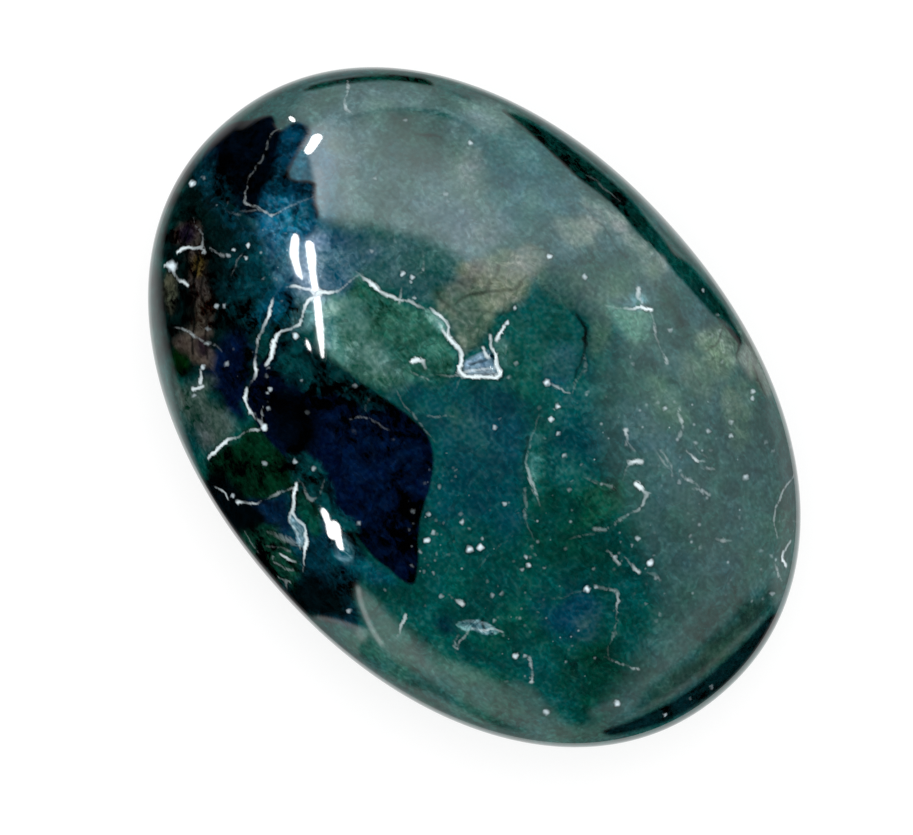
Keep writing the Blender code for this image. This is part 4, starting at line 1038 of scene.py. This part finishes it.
def crackMasks(add, wander, fine, fibres):
    # healed cracks: silica-white threads that swell and thin along their length, each with painted shade
    # along its sides; a crack whose whiteness is below 0 is a dark vein
    swell = add("ShaderNodeMapRange", {0: fibres, 1: 0.32, 2: 0.68, 3: 0.40, 4: 1.40})
    broken = add("ShaderNodeMapRange", {0: fibres, 1: 0.35, 2: 0.65, 3: -0.20, 4: 1.2})
    threads = veinsAndPaintedShade = 0.0
    for number in range(len(crackLayers)):
        stored = add("ShaderNodeAttribute", attribute_name=f"crack{number}").outputs
        white = stored["Alpha"]
        crack = add("ShaderNodeSeparateXYZ", {0: stored["Color"]}).outputs
        off = add("ShaderNodeMath", {0: wander, 1: markLook["bend"], 2: crack["X"]}, operation="MULTIPLY_ADD")
        off = add("ShaderNodeMath", {0: fine, 1: markLook["fray"], 2: off}, operation="MULTIPLY_ADD")
        off = add("ShaderNodeMath", {0: off}, operation="ABSOLUTE")
        width = add("ShaderNodeMath", {0: crack["Z"], 1: swell}, operation="MULTIPLY")
        inner = add("ShaderNodeMath", {0: width, 1: 0.15}, operation="MULTIPLY")
        outer = add("ShaderNodeMath", {0: width, 1: 1.30, 2: 0.07}, operation="MULTIPLY_ADD")
        paintedShadeBeside = add("ShaderNodeMath", {0: width, 1: 2.4, 2: 0.12}, operation="MULTIPLY_ADD")
        near = add("ShaderNodeMapRange", {0: crack["Y"], 1: 0.55, 2: 0.30}, **smoothStep)
        core = add("ShaderNodeMapRange", {0: off, 1: outer, 2: inner}, **smoothStep)
        core = add("ShaderNodeMath", {0: core, 1: near}, operation="MULTIPLY")
        # painted shade: a dark band along both sides of a white crack
        paintedShade = add("ShaderNodeMapRange", {0: off, 1: paintedShadeBeside, 2: outer, 4: markLook["paintedShadeBeside"]}, **smoothStep)
        paintedShade = add("ShaderNodeMath", {0: paintedShade, 1: near}, operation="MULTIPLY")
        paintedShade = add("ShaderNodeMath", {0: paintedShade, 1: white}, operation="MULTIPLY", use_clamp=True)
        dark = add("ShaderNodeMath", {0: white, 1: -1.0}, operation="MULTIPLY", use_clamp=True)
        dark = add("ShaderNodeMath", {0: dark, 1: core, 2: paintedShade}, operation="MULTIPLY_ADD")
        veinsAndPaintedShade = add("ShaderNodeMath", {0: dark, 1: veinsAndPaintedShade}, operation="MAXIMUM")
        whole = add("ShaderNodeMath", {0: white, 1: 2.0, 2: broken}, operation="MULTIPLY_ADD", use_clamp=True)
        core = add("ShaderNodeMath", {0: core, 1: whole}, operation="MULTIPLY")
        core = add("ShaderNodeMath", {0: core, 1: white}, operation="MULTIPLY", use_clamp=True)
        threads = add("ShaderNodeMath", {0: core, 1: threads}, operation="MAXIMUM")
    return veinsAndPaintedShade, threads


def speckMasks(add, inMm, grain):
    # grains that stayed white, each in a ring of painted shade, and dust too fine to place
    bend = add("ShaderNodeVectorMath", {0: grain.outputs["Color"], 1: (0.5, 0.5, 0)}, operation="SUBTRACT")
    bend = add("ShaderNodeVectorMath", {0: bend, 1: (markLook["ragged"], markLook["ragged"], 0)},
               operation="MULTIPLY")
    whites = rings = 0.0
    for number in range(len(speckLayers)):
        stored = add("ShaderNodeAttribute", attribute_name=f"speck{number}").outputs
        gap = add("ShaderNodeAttribute", attribute_name=f"speckGap{number}").outputs["Fac"]
        radius = add("ShaderNodeSeparateXYZ", {0: stored["Color"]}).outputs["Z"]
        flat = add("ShaderNodeVectorMath", {0: stored["Color"], 1: (1, 1, 0), 2: bend},
                   operation="MULTIPLY_ADD")
        away = add("ShaderNodeVectorMath", {0: flat}, operation="LENGTH")
        reach = add("ShaderNodeMath", {0: away, 1: radius}, operation="DIVIDE")
        near = add("ShaderNodeMapRange", {0: gap, 1: 0.75, 2: 0.5}, **smoothStep)
        near = add("ShaderNodeMath", {0: near, 1: stored["Alpha"]}, operation="MULTIPLY")
        # painted shade: a darker ring round each white speck
        ring = add("ShaderNodeMapRange", {0: reach, 1: 2.0, 2: 1.0, 4: markLook["ring"]}, **smoothStep)
        ring = add("ShaderNodeMath", {0: ring, 1: near}, operation="MULTIPLY")
        rings = add("ShaderNodeMath", {0: ring, 1: rings}, operation="MAXIMUM")
        speck = add("ShaderNodeMapRange", {0: reach, 1: 1.30, 2: 0.1}, **smoothStep)
        speck = add("ShaderNodeMath", {0: speck, 1: near}, operation="MULTIPLY")
        whites = add("ShaderNodeMath", {0: speck, 1: whites}, operation="MAXIMUM")
    (smallest, larger), (dimmest, brighter) = markLook["dustSize"], markLook["dustLight"]
    cells = add("ShaderNodeTexVoronoi", {"Vector": inMm, "Scale": 1 / agateLook["dustMm"]}).outputs
    draws = add("ShaderNodeSeparateColor", {0: cells["Color"]}).outputs
    amount = add("ShaderNodeAttribute", attribute_name="dust").outputs["Fac"]
    amount = add("ShaderNodeMath", {0: amount, 1: markLook["dustShare"]}, operation="MULTIPLY")
    held = add("ShaderNodeMath", {0: draws[0], 1: amount}, operation="LESS_THAN")
    size = add("ShaderNodeMath", {0: draws[1], 1: larger, 2: smallest}, operation="MULTIPLY_ADD")
    dots = add("ShaderNodeMapRange", {0: cells["Distance"], 1: size, 2: 0.0}, **smoothStep)
    light = add("ShaderNodeMath", {0: draws[2], 1: 2.5}, operation="POWER")
    light = add("ShaderNodeMath", {0: light, 1: brighter, 2: dimmest}, operation="MULTIPLY_ADD")
    dots = add("ShaderNodeMath", {0: dots, 1: held}, operation="MULTIPLY")
    dots = add("ShaderNodeMath", {0: dots, 1: light}, operation="MULTIPLY")
    return rings, add("ShaderNodeMath", {0: whites, 1: dots}, operation="MAXIMUM")


def makeAgate():
    # Moss agate, polished with fine oxide to a glassy skin: mirror-like lights over colour that lies below.
    material, add = newMaterial("polished moss agate")
    place = add("ShaderNodeTexCoord").outputs["Object"]
    inMm = add("ShaderNodeVectorMath", {0: place, "Scale": 1 / mm}, operation="SCALE")
    clouds = add("ShaderNodeTexNoise", {
        "Vector": inMm, "Scale": 1 / agateLook["cloudMm"], "Detail": 3.0, "Distortion": 0.8})
    mottles = add("ShaderNodeTexNoise", {
        "Vector": inMm, "Scale": 1 / agateLook["mottleMm"], "Detail": 4.0, "Roughness": 0.6,
        "Distortion": 0.7})
    drawn = add("ShaderNodeMapping", {"Vector": inMm, "Rotation": (0.2, 0.3, 0.6), "Scale": (0.45, 1.0, 1.0)})
    fibres = add("ShaderNodeTexNoise", {
        "Vector": drawn, "Scale": 1 / agateLook["fibreMm"], "Detail": 2.0, "Distortion": 1.4})
    grain = add("ShaderNodeTexNoise", {"Vector": inMm, "Scale": 1 / agateLook["grainMm"], "Detail": 0.3})
    wander = add("ShaderNodeMath", {0: mottles, 1: 0.5}, operation="SUBTRACT")
    fine = add("ShaderNodeMath", {0: grain, 1: 0.5}, operation="SUBTRACT")

    # tone is how far the mottling carries each zone from its middle colour to its dark or light end
    tone = -0.5
    for noise, low, high, share in ((clouds, 0.36, 0.64, 0.40), (mottles, 0.32, 0.68, 0.36),
                                    (fibres, 0.32, 0.68, 0.24)):
        part = add("ShaderNodeMapRange", {0: noise, 1: low, 2: high, 4: share}, **smoothStep)
        tone = add("ShaderNodeMath", {0: part, 1: tone}, operation="ADD")
    dark = add("ShaderNodeAttribute", attribute_name="stainDark").outputs
    light = add("ShaderNodeAttribute", attribute_name="stainLight").outputs["Color"]
    spread = add("ShaderNodeMath", {0: tone, 1: dark["Alpha"], 2: 0.5}, operation="MULTIPLY_ADD")
    colour = add("ShaderNodeMix", {0: spread, 6: dark["Color"], 7: light}, **pastItsEnds)
    for name, (soft, wobble, contrast, darkEnd, lightEnd, _) in crispZones.items():
        stored = add("ShaderNodeAttribute", attribute_name=name).outputs["Fac"]
        edge = add("ShaderNodeMath", {0: wander, 1: 2 * wobble, 2: stored}, operation="MULTIPLY_ADD")
        mask = add("ShaderNodeMapRange", {0: edge, 1: -soft, 2: soft}, **smoothStep)
        spread = add("ShaderNodeMath", {0: tone, 1: contrast, 2: 0.5}, operation="MULTIPLY_ADD")
        inside = add("ShaderNodeMix", {0: spread, 6: linear(darkEnd), 7: linear(lightEnd)}, **pastItsEnds)
        colour = add("ShaderNodeMix", {0: mask, 6: colour, 7: inside}, **ofColours)

    # the hue wavers from place to place, and the brightness from grain to grain
    colour = add("ShaderNodeVectorMath", {0: colour, 1: (0, 0, 0)}, operation="MAXIMUM")
    for noise, amount in ((clouds, 0.40), (mottles, 0.20)):
        rest = 1 - amount / 2
        waver = add("ShaderNodeVectorMath", {0: noise.outputs["Color"], 1: [amount] * 3, 2: [rest] * 3},
                    operation="MULTIPLY_ADD")
        colour = add("ShaderNodeVectorMath", {0: colour, 1: waver}, operation="MULTIPLY")
    flicker = add("ShaderNodeMath", {0: fine, 1: agateLook["grain"], 2: 1.0}, operation="MULTIPLY_ADD")
    colour = add("ShaderNodeVectorMath", {0: colour, "Scale": flicker}, operation="SCALE")
    third = add("ShaderNodeVectorMath", {0: colour, 1: (0.33, 0.33, 0.33)}, operation="DOT_PRODUCT")
    frost = add("ShaderNodeMath", {0: fine, 1: agateLook["frost"]}, operation="MULTIPLY")
    frost = add("ShaderNodeMath", {0: frost, 1: third}, operation="MULTIPLY")
    colour = add("ShaderNodeVectorMath", {0: colour, 1: frost}, operation="ADD")
    colour = add("ShaderNodeVectorMath", {0: colour, 1: (0, 0, 0)}, operation="MAXIMUM")

    # moss: light wisps and dark veins that follow the mottling
    patchy = add("ShaderNodeMapRange", {0: fibres, 1: 0.45, 2: 0.62}, **smoothStep)
    for level, added in (agateLook["wisp"], agateLook["vein"]):
        off = add("ShaderNodeMath", {0: mottles, 1: level}, operation="SUBTRACT")
        off = add("ShaderNodeMath", {0: off}, operation="ABSOLUTE")
        line = add("ShaderNodeMapRange", {0: off, 1: 0.045, 2: 0.005, 4: added}, **smoothStep)
        line = add("ShaderNodeMath", {0: line, 1: patchy, 2: 1.0}, operation="MULTIPLY_ADD")
        colour = add("ShaderNodeVectorMath", {0: colour, "Scale": line}, operation="SCALE")

    veinsAndPaintedShade, threads = crackMasks(add, wander, fine, fibres)
    rings, whites = speckMasks(add, inMm, grain)
    # the shade colour paints the dark veins, and the painted shade beside cracks and round specks
    for share, code in ((veinsAndPaintedShade, "shade"), (threads, "quartz"), (rings, "shade"), (whites, "speck")):
        colour = add("ShaderNodeMix", {0: share, 6: colour, 7: linear(agateLook[code])}, **ofColours)
    rough = add("ShaderNodeMath", {0: whites, 1: threads}, operation="MAXIMUM")
    rough = add("ShaderNodeMath", {0: rough, 1: agateLook["markRoughness"], 2: agateLook["roughness"]},
                operation="MULTIPLY_ADD")
    surface = add("ShaderNodeBsdfPrincipled", {
        "Base Color": colour, "Roughness": rough, "IOR": agateLook["ior"]})
    add("ShaderNodeOutputMaterial", {0: surface})
    return material


# What the polish mirrors, drawn where the photograph shows its image on the stone. It is seen only
# in reflections. tableEdge is where the table begins. Each patch has half the width of its edge in mm,
# how bright its image is, where white paper is 1, and its outline.
tableEdge = [
    (-29.1, 0), (-28.9, 3.5), (-28.1, 6.6), (-26.8, 9), (-25.4, 11), (-23.4, 13.2), (-21.5, 14.8),
    (-18.5, 16.5), (-15.5, 17.9), (-12, 19), (-9, 19.7), (-5, 20.3), (0, 20.4), (5, 20.5), (8, 20.1),
    (10, 19.7), (14, 18.9), (18, 17.2), (22, 14.8), (25, 12.1), (27.2, 9.2), (28.3, 7), (29.3, 4),
    (29.75, 1), (29.75, -1), (29.5, -3.5), (28.9, -6), (27.8, -8.5), (25.5, -11.6), (22.5, -14.2),
    (18.5, -16.7), (14, -18.6), (9, -20), (4, -20.8), (-2, -20.9), (-8, -20.4), (-12, -19.2), (-15, -17.8),
    (-20, -14.85), (-23.3, -12.55), (-25.7, -10.35), (-27.2, -8.3), (-28.2, -6.2), (-29, -3.5),
]
lightPatches = {
    "skyHaze": (1.4, 0.022, [
        (3, 12), (4, 9), (10, 5), (18, 2.6), (22, 0.4), (23.8, -3.4), (24.6, -7), (25.4, -9), (28, -9),
        (28, 6), (20, 16), (4, 22)]),
    "skyRight": (1.3, 0.042, [
        (4, 24), (4, 13), (9, 9.6), (14, 7.6), (18, 6.6), (21, 5.2), (23, 3.4), (24.2, 0.6), (25, -3),
        (25.4, -5.6), (25.6, -9), (27.2, -9), (27, 6), (23, 13), (16, 20)]),
    "topMiddle": (1.6, 0.07, [
        (-8, 12), (-3, 12.5), (3, 13), (5, 15), (4.5, 22), (-10, 22)]),
    "topRight": (1.4, 0.055, [
        (4, 13.5), (8, 13.5), (9, 16), (8, 20), (4, 20)]),
    "leftWindow": (2.2, 0.08, [
        (-31, 1), (-26, 2), (-20, -1), (-14, 3), (-9, 6.5), (-5, 10), (-6, 15), (-11, 22), (-24, 18),
        (-31, 8)]),
    "leftRim": (0.6, 0.045, [
        (-31, 1), (-27.3, 2.2), (-26.8, 4), (-27.6, 6.2), (-28.8, 8.5), (-31, 8)]),
    "windowHeart": (1.8, 0.115, [
        (-23, 2.4), (-19, 0), (-15, 3), (-9.5, 6), (-8.5, 9), (-12, 11.5), (-18, 11), (-22.4, 7.5)]),
    "windowGlare": (0.8, 0.165, [
        (-24.9, 4), (-24.6, 5.9), (-23.2, 6.6), (-21.6, 6), (-19.6, 4.6), (-18.2, 3), (-18.8, 1.6),
        (-19.6, 0.9), (-21.5, 1.9), (-22.6, 2.6), (-24, 3.1)]),
    "lampGlare": (0.5, 0.215, [
        (-24.6, 3), (-24.9, 5.4), (-23.2, 5.6), (-21.6, 4.4), (-20.2, 2.9), (-19.8, 1.3), (-21.4, 2),
        (-22.6, 2.6)]),
    "leftShoulder": (1.6, 0.055, oval(-15, 15.5, 6.5, 2.6, 25)),
    "shoulderGlow": (0.6, 0.095, oval(-16.8, 15.9, 1.8, 1, 30)),
    "notch": (0.2, 0.045, [
        (-24.4, 3.3), (-24.1, 1.9), (-23.4, 0.9), (-22.6, 1.2), (-21.9, 2.1), (-22.4, 2.5), (-23.2, 3)]),
    "rightArc": (0.35, 0.045, [
        (23.9, 5.6), (23.8, 2), (24.2, 0.3), (25.2, -0.4), (25.3, -4), (25.7, -4.2), (25.9, 0.4), (26, 3),
        (25.6, 5.8)]),
    "rightEdge": (0.4, 0.006, [
        (26.1, 8), (26.1, 4), (26.1, 0), (25.9, -4), (26.4, -6), (26.6, -9), (32, -9), (32, 8)]),
    "rightInnerLine": (0.2, 0.034, [
        (27.95, 6), (28.1, 1.6), (27.95, -2), (27.4, -5), (26.6, -8), (26.3, -8), (27, -5), (27.55, -2),
        (27.6, 1.6), (27.6, 6)]),
    "belowDiagonal": (0.8, 0.002, [
        (-20.5, 0.4), (-19, 0.7), (-17.5, 2), (-16.2, 3.4), (-15.2, 4.2), (-12, 6.2), (-9, 7), (-6, 7.5),
        (-3.9, 9.6), (-2, 10.1), (0.5, 10.9), (3, 10.4), (5, 6), (5, -3), (-4, -4), (-16, -5), (-24, -3)]),
    "leftBays": (0.16, 0.0002, [
        (-31, 0.3), (-28.9, 0.3), (-28.5, 1.8), (-28.2, 2.6), (-27.9, 3.1), (-27.6, 3.1), (-27.2, 2.8),
        (-26.9, 2.7), (-26.6, 2.8), (-26.4, 4), (-26, 4.45), (-25.4, 4.6), (-25, 4.4), (-24.8, 3.9),
        (-24.6, 3.3), (-24.4, 2.6), (-24.1, 1.8), (-23.9, 1.3), (-23.3, 0.95), (-22.7, 1.2), (-22.2, 1.7),
        (-21.8, 2.1), (-21.5, 2.15), (-21.1, 1.7), (-20.6, 1.2), (-20, 0.9), (-19.3, 0.6), (-15, -2),
        (-16, -10), (-24, -13), (-31, -6)]),
    "lowBand": (0.45, 0.033, [
        (4.6, -16.3), (6, -16), (9, -15.8), (10.5, -15.5), (12, -15.2), (13.8, -14.9), (15.5, -13.9),
        (18, -12.8), (18.8, -12), (20, -11.2), (22, -11.1), (24, -10.9), (25.4, -9.6), (27, -8.2),
        (28.5, -8.6), (26, -13), (20, -18), (10, -22), (3.4, -22), (6.4, -19.2), (7.8, -18.2), (5.8, -17.2),
        (4.9, -16.6)]),
    "lowNotch": (0.12, 0.0004, [
        (4.4, -16.6), (5.5, -17), (6.6, -17.45), (7.7, -17.85), (7.7, -18), (6.4, -18.75), (5.4, -19.4),
        (4.4, -20.3), (2, -20), (2, -17)]),
    "lowBandMid": (0.7, 0.054, [
        (14.5, -14.6), (18.5, -13.2), (22, -12.1), (25, -11.1), (24, -13), (20, -14.8), (16, -16),
        (14, -16.2)]),
    "lowBandGlow": (0.6, 0.082, [
        (5, -16.5), (9, -16.2), (13, -15.9), (14.3, -16.3), (12, -17.3), (10, -18), (7.4, -17.6)]),
    "lowBandOuter": (0.35, 0.06, [
        (11.5, -19.2), (14.5, -17.8), (18, -16.3), (21, -15), (23, -13.4), (24.6, -12), (25.8, -12.4),
        (19, -18), (12, -20.8)]),
    "lowBandEdge": (0.14, 0.07, [
        (4.9, -16.45), (6.5, -16.2), (9.5, -16.2), (11, -17), (10, -17.9), (8.4, -17.85), (7.3, -17.6),
        (6.2, -17.2), (5.5, -16.85)]),
    "lowBandFoot": (0.14, 0.06, [
        (4.4, -20.4), (5.4, -19.5), (6.4, -18.85), (7.7, -18.1), (8.6, -18.1), (9, -20), (8.5, -21.4),
        (4, -21.8)]),
    "wedgeLight": (0.3, 0.13, [
        (8.7, 20.2), (10.2, 19.75), (10.6, 19.1), (10.9, 18.4), (11.8, 18.2), (12.9, 18.05), (12.5, 18.6),
        (13.6, 18.55), (14.6, 18.15), (15.6, 18.1), (13.5, 19.4), (11, 20.3), (9, 20.7)]),
    "lowLeftRim": (0.2, 0.05, [
        (-27.8, -8.5), (-25.3, -10.95), (-22.25, -13.4), (-19.25, -15.3), (-16.8, -16.5), (-15.2, -17.2),
        (-15.6, -18.2), (-19, -17), (-24, -13.6), (-28.8, -8.8)]),
    "topLeftRim": (0.25, 0.11, [
        (-21.4, 15.2), (-18.5, 16.4), (-16, 17.7), (-14, 18.35), (-12, 18.95), (-10, 19.45), (-8, 19.9),
        (-5, 20.3), (-4, 20.9), (-14, 19.8), (-19, 17.4), (-22, 15.4)]),
    "topRightRim": (0.5, 0.075, [
        (15, 18.4), (15.5, 17.3), (17.5, 16.4), (20, 14.9), (22, 13.2), (24.2, 11), (25.2, 9.6),
        (27.4, 7.8), (28.6, 8.4), (25, 13), (21.5, 16), (16, 19.2)]),
    "topCrescent": (0.12, 0.0004, [
        (-15.8, 17.4), (-14, 17.6), (-12, 17.8), (-10, 18.05), (-8, 18.2), (-6, 18.65), (-4, 18.85),
        (-2, 18.8), (0, 18.9), (1, 19.25), (2, 19), (5, 19.05), (7, 19.1), (8.2, 19.5), (9.7, 19.4),
        (10.2, 19.25), (9.6, 19.85), (8.4, 19.9), (7, 20.25), (3, 20.4), (1.4, 19.95), (0, 20.1),
        (-2, 20.15), (-4, 20.3), (-6, 20.1), (-8, 19.8), (-10, 19.4), (-12, 19), (-14, 18.45)]),
    "leftCrescent": (0.12, 0.0004, crispZones["upperLeftShade"][-1]),
    "rightCrescent": (0.15, 0.0004, [
        (28, 7), (28.15, 5), (28.3, 3), (28.35, 1), (28.3, -1), (28, -3.5), (27.5, -5.5), (26.9, -7.4),
        (26.2, -9.2), (27, -8.9), (27.9, -7.2), (28.9, -5), (29.4, -2.5), (29.7, 0), (29.55, 3),
        (28.7, 6.6)]),
    "lowCrescent": (0.2, 0.012, [
        (8.4, -18.2), (10.5, -18.2), (13, -17.5), (15, -16.75), (17, -16.1), (19, -15.3), (21, -14.4),
        (22.2, -13.7), (21, -14.9), (19, -15.9), (17, -16.7), (15, -17.4), (13.4, -18.4), (11, -19.2),
        (8.7, -19.7)]),
}
# Thin lines in the lights: route, half the width in mm, and what is added to the brightness.
lightLines = [
    ([(-22.2, 3), (-21.6, 2.5), (-21.2, 2.1), (-20.6, 1.6), (-20, 1.3), (-19.4, 1)], 0.3, 0.06),
    ([(4.9, -16.4), (5.6, -16.85), (6.4, -17.2), (7.3, -17.5), (8.2, -17.75), (9.4, -17.9)], 0.18, 0.12),
    ([(7.6, -18.7), (8.1, -18.7)], 0.3, 0.06),
    ([(-19.3, -2.3), (-18.4, -2.9), (-16.8, -3.6)], 0.45, 0.05),
    ([(-18.3, -1.5), (-17, -2.3), (-15.5, -3.3), (-13, -4.8), (-11.4, -6)], 0.45, 0.04),
    ([(-21.4, 10.9), (-20.9, 11.6), (-20, 12.6), (-18.8, 13.5)], 0.3, -0.025),
    ([(-24.1, 5.5), (-23.8, 7.3), (-22.8, 9.4), (-21.3, 11.5), (-19.5, 13.1), (-17.5, 14.2)], 0.16, -0.028),
    ([(-21, 14.6), (-19.5, 15.3), (-18.2, 15.8), (-17.3, 16.3)], 0.14, -0.02),
    ([(25.2, -7), (24.6, -8.8)], 0.35, 0.02),
    ([(7.8, -18.2), (6.5, -18.95), (5.5, -19.6), (4.6, -20.3)], 0.14, 0.04),
]
lamps = [
    [(-19.7, -1.7), (-19.4, -1.6), (-19.1, -1.75), (-18.6, -2.2), (-18, -2.75), (-17.3, -3.15),
     (-16.7, -3.5), (-16.5, -3.65), (-17.2, -3.7), (-18, -3.4), (-18.7, -3.1), (-19.2, -2.6),
     (-19.6, -2.1)],
    [(-18.6, -1.35), (-18.3, -1.1), (-18, -1.15), (-17.4, -1.5), (-16.8, -1.95), (-16.2, -2.5), (-15, -3.2),
     (-14, -3.85), (-13, -4.55), (-12, -5.3), (-11.2, -6), (-10.75, -6.4), (-10.9, -6.55), (-11.5, -6.15),
     (-12.4, -5.5), (-13.4, -4.85), (-14.4, -4.15), (-15.4, -3.6), (-16.2, -3.1), (-17, -2.6),
     (-17.6, -2.15), (-18.4, -1.7)],
    [(-1.8, -14.35), (-1.5, -14.25), (-1.1, -14.3), (-0.6, -14.55), (-0.4, -14.3), (0, -14.2),
     (0.4, -14.35), (0.9, -14.7), (1.4, -15), (1.8, -15.25), (1.7, -15.45), (1.4, -15.5), (1.1, -15.4),
     (0.9, -15.2), (0.6, -15.4), (0.3, -15.5), (-0.1, -15.35), (-0.7, -15), (-1.4, -14.75), (-1.7, -14.6)],
    [(-24.45, 4.9), (-24, 5), (-23.75, 4.3), (-23.6, 3.5), (-23.8, 3.15), (-24.15, 3.2), (-24.4, 3.9),
     (-24.6, 4.4)],
    oval(-26.65, 4.1, 0.3, 0.17, 10),
    [(-12.7, -6.5), (-12.3, -6.55), (-11.9, -6.75), (-11.85, -6.9), (-12.2, -6.9), (-12.6, -6.7)],
]
# The dome's radius and the table's height are in metres. innermost and outermost are shares of the way
# out to the stone's rim, lampAt is a share of the dome's radius, and the last four are brightnesses.
reflectionRig = {
    "radius": 0.9, "rings": 170, "spokes": 600, "innermost": 0.01, "outermost": 0.992, "lampAt": 0.97,
    "tableHeight": 0.3 * mm, "table": 0.95, "horizon": 0.4, "unlit": 0.0002, "lamp": 26.0,
}


def mirrored(spots):
    # where the camera's rays go after the polish turns them: to a far dome, or to the table
    places = onCrown(spots)
    rays = raysThrough(spots)
    normals = crownNormal(places)
    turned = rays - 2 * (rays * normals).sum(1)[:, None] * normals
    along = (places * turned).sum(1)
    toDome = -along + np.sqrt(along**2 - (places**2).sum(1) + reflectionRig["radius"] ** 2)
    down = np.minimum(turned[:, 2], -1e-6)
    toTable = np.where(turned[:, 2] < 0, (reflectionRig["tableHeight"] - places[:, 2]) / down, np.inf)
    return places + turned * np.minimum(toDome, toTable)[:, None]


def polishShare(spots):
    # how much of the light the polished face mirrors towards the camera, by Fresnel's law for quartz
    facing = (-raysThrough(spots) * crownNormal(onCrown(spots))).sum(1).clip(0, 1)
    through = np.sqrt(agateLook["ior"] ** 2 - 1 + facing**2)
    across = ((through - facing) / (through + facing)) ** 2
    along = ((facing * (through + facing) - 1) / (facing * (through - facing) + 1)) ** 2
    return across * (1 + along) / 2


def glowAt(spots):
    image = np.full(len(spots), reflectionRig["unlit"])
    for soft, level, outline in lightPatches.values():
        image += ease(insideBy(outline, spots), -soft, soft) * (level - image)
    for route, half, added in lightLines:
        gap = awayFrom(smoothed(route, closed=False), spots)
        image += added * ease(-gap, -1.6 * half, -0.4 * half)
    beyond = -insideBy(tableEdge, spots)
    outside = ease(beyond, -0.15, 0.15)
    horizon = reflectionRig["horizon"]
    table = reflectionRig["table"] * (horizon + (1 - horizon) * ease(beyond, 0.0, 0.6))
    return image.clip(0) / polishShare(spots) * (1 - outside) + table * outside


def onlyMirrored(thing):
    thing.visible_camera = thing.visible_diffuse = thing.visible_shadow = False
    thing.visible_transmission = thing.visible_volume_scatter = False


def makeGlow(name, strength=None, attribute=None):
    # a white light, as strong everywhere or as an attribute says
    material, add = newMaterial(name)
    if attribute:
        strength = add("ShaderNodeAttribute", attribute_name=attribute).outputs["Fac"]
    shine = add("ShaderNodeEmission", {"Color": (1, 1, 1, 1), "Strength": strength})
    add("ShaderNodeOutputMaterial", {0: shine})
    material.cycles.emission_sampling = "NONE"
    return material


def makeSurroundings():
    rings, spokes = reflectionRig["rings"], reflectionRig["spokes"]
    around = np.linspace(0, 2 * math.pi, spokes, endpoint=False)
    cosine, sine = np.cos(around), np.sin(around)
    rim = planReach(cosine * mm, sine * mm) ** (-1 / planPower)  # how far away the outline is, in mm
    shares = np.linspace(reflectionRig["innermost"], reflectionRig["outermost"], rings)
    spots = np.concatenate([np.column_stack([rim * cosine, rim * sine]) * share for share in shares])
    faces = [tuple(range(spokes))]
    for inner in range(0, (rings - 1) * spokes, spokes):
        for spoke in range(spokes):
            after = (spoke + 1) % spokes
            faces.append((inner + spoke, inner + after, inner + spokes + after, inner + spokes + spoke))
    glow = makeGlow("studio seen in the polish", attribute="glow")
    surroundings = addStaged("surroundings", mirrored(spots).tolist(), faces, glow)
    storeFloat(surroundings.data, "glow", glowAt(spots))
    onlyMirrored(surroundings)


def makeLamps():
    glow = makeGlow("lamp seen in the polish", reflectionRig["lamp"])
    for number, outline in enumerate(lamps):
        corners = mirrored(smoothed(outline, steps=3)) * reflectionRig["lampAt"]
        count = len(corners)
        faces = [(i, (i + 1) % count, count) for i in range(count)]
        onlyMirrored(addStaged(f"lamp{number}", [*corners.tolist(), corners.mean(0).tolist()], faces, glow))


studio = {
    "world": 1.15, "key": 1.2, "keySize": 0.9, "keyPlace": (-0.35, 0.35, 0.8),
    "floor": "#a6a6a6", "floorGlow": 0.66, "floorSize": 6.0,
}


def makeStudio():
    world = bpy.data.worlds.new("studio")
    bpy.context.scene.world = world
    world.use_nodes = True
    background = world.node_tree.nodes["Background"]
    background.inputs["Color"].default_value = (1, 1, 1, 1)
    background.inputs["Strength"].default_value = studio["world"]
    world.cycles_visibility.glossy = False
    key = bpy.data.lights.new("key", "AREA")
    key.shape, key.size, key.energy = "DISK", studio["keySize"], studio["key"]
    lamp = addObject("key", key)
    lamp.location = studio["keyPlace"]
    lamp.rotation_euler = (-Vector(studio["keyPlace"])).to_track_quat("-Z", "Y").to_euler()
    lamp.visible_glossy = False
    # a matt white table, a little lit from within
    material, add = newMaterial("matt white table")
    surface = add("ShaderNodeBsdfPrincipled", {
        "Base Color": linear(studio["floor"]), "Roughness": 0.9, "Specular IOR Level": 0.0,
        "Emission Color": (1, 1, 1, 1), "Emission Strength": studio["floorGlow"]})
    add("ShaderNodeOutputMaterial", {0: surface})
    half = studio["floorSize"] / 2
    corners = [(-half, -half, 0), (half, -half, 0), (half, half, 0), (-half, half, 0)]
    addStaged("floor", corners, [(0, 1, 2, 3)], material)
    bpy.context.scene.view_settings.view_transform = "Standard"


makeCamera()
print("camera: placed over the stone")
stone = makePillow(makeAgate())
markStone(stone)
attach(stone, "root")
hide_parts("moss_agate")
print("stone: shaped and marked,", len(stone.data.polygons), "faces")
makeSurroundings()
makeLamps()
makeStudio()
print("studio: lit")
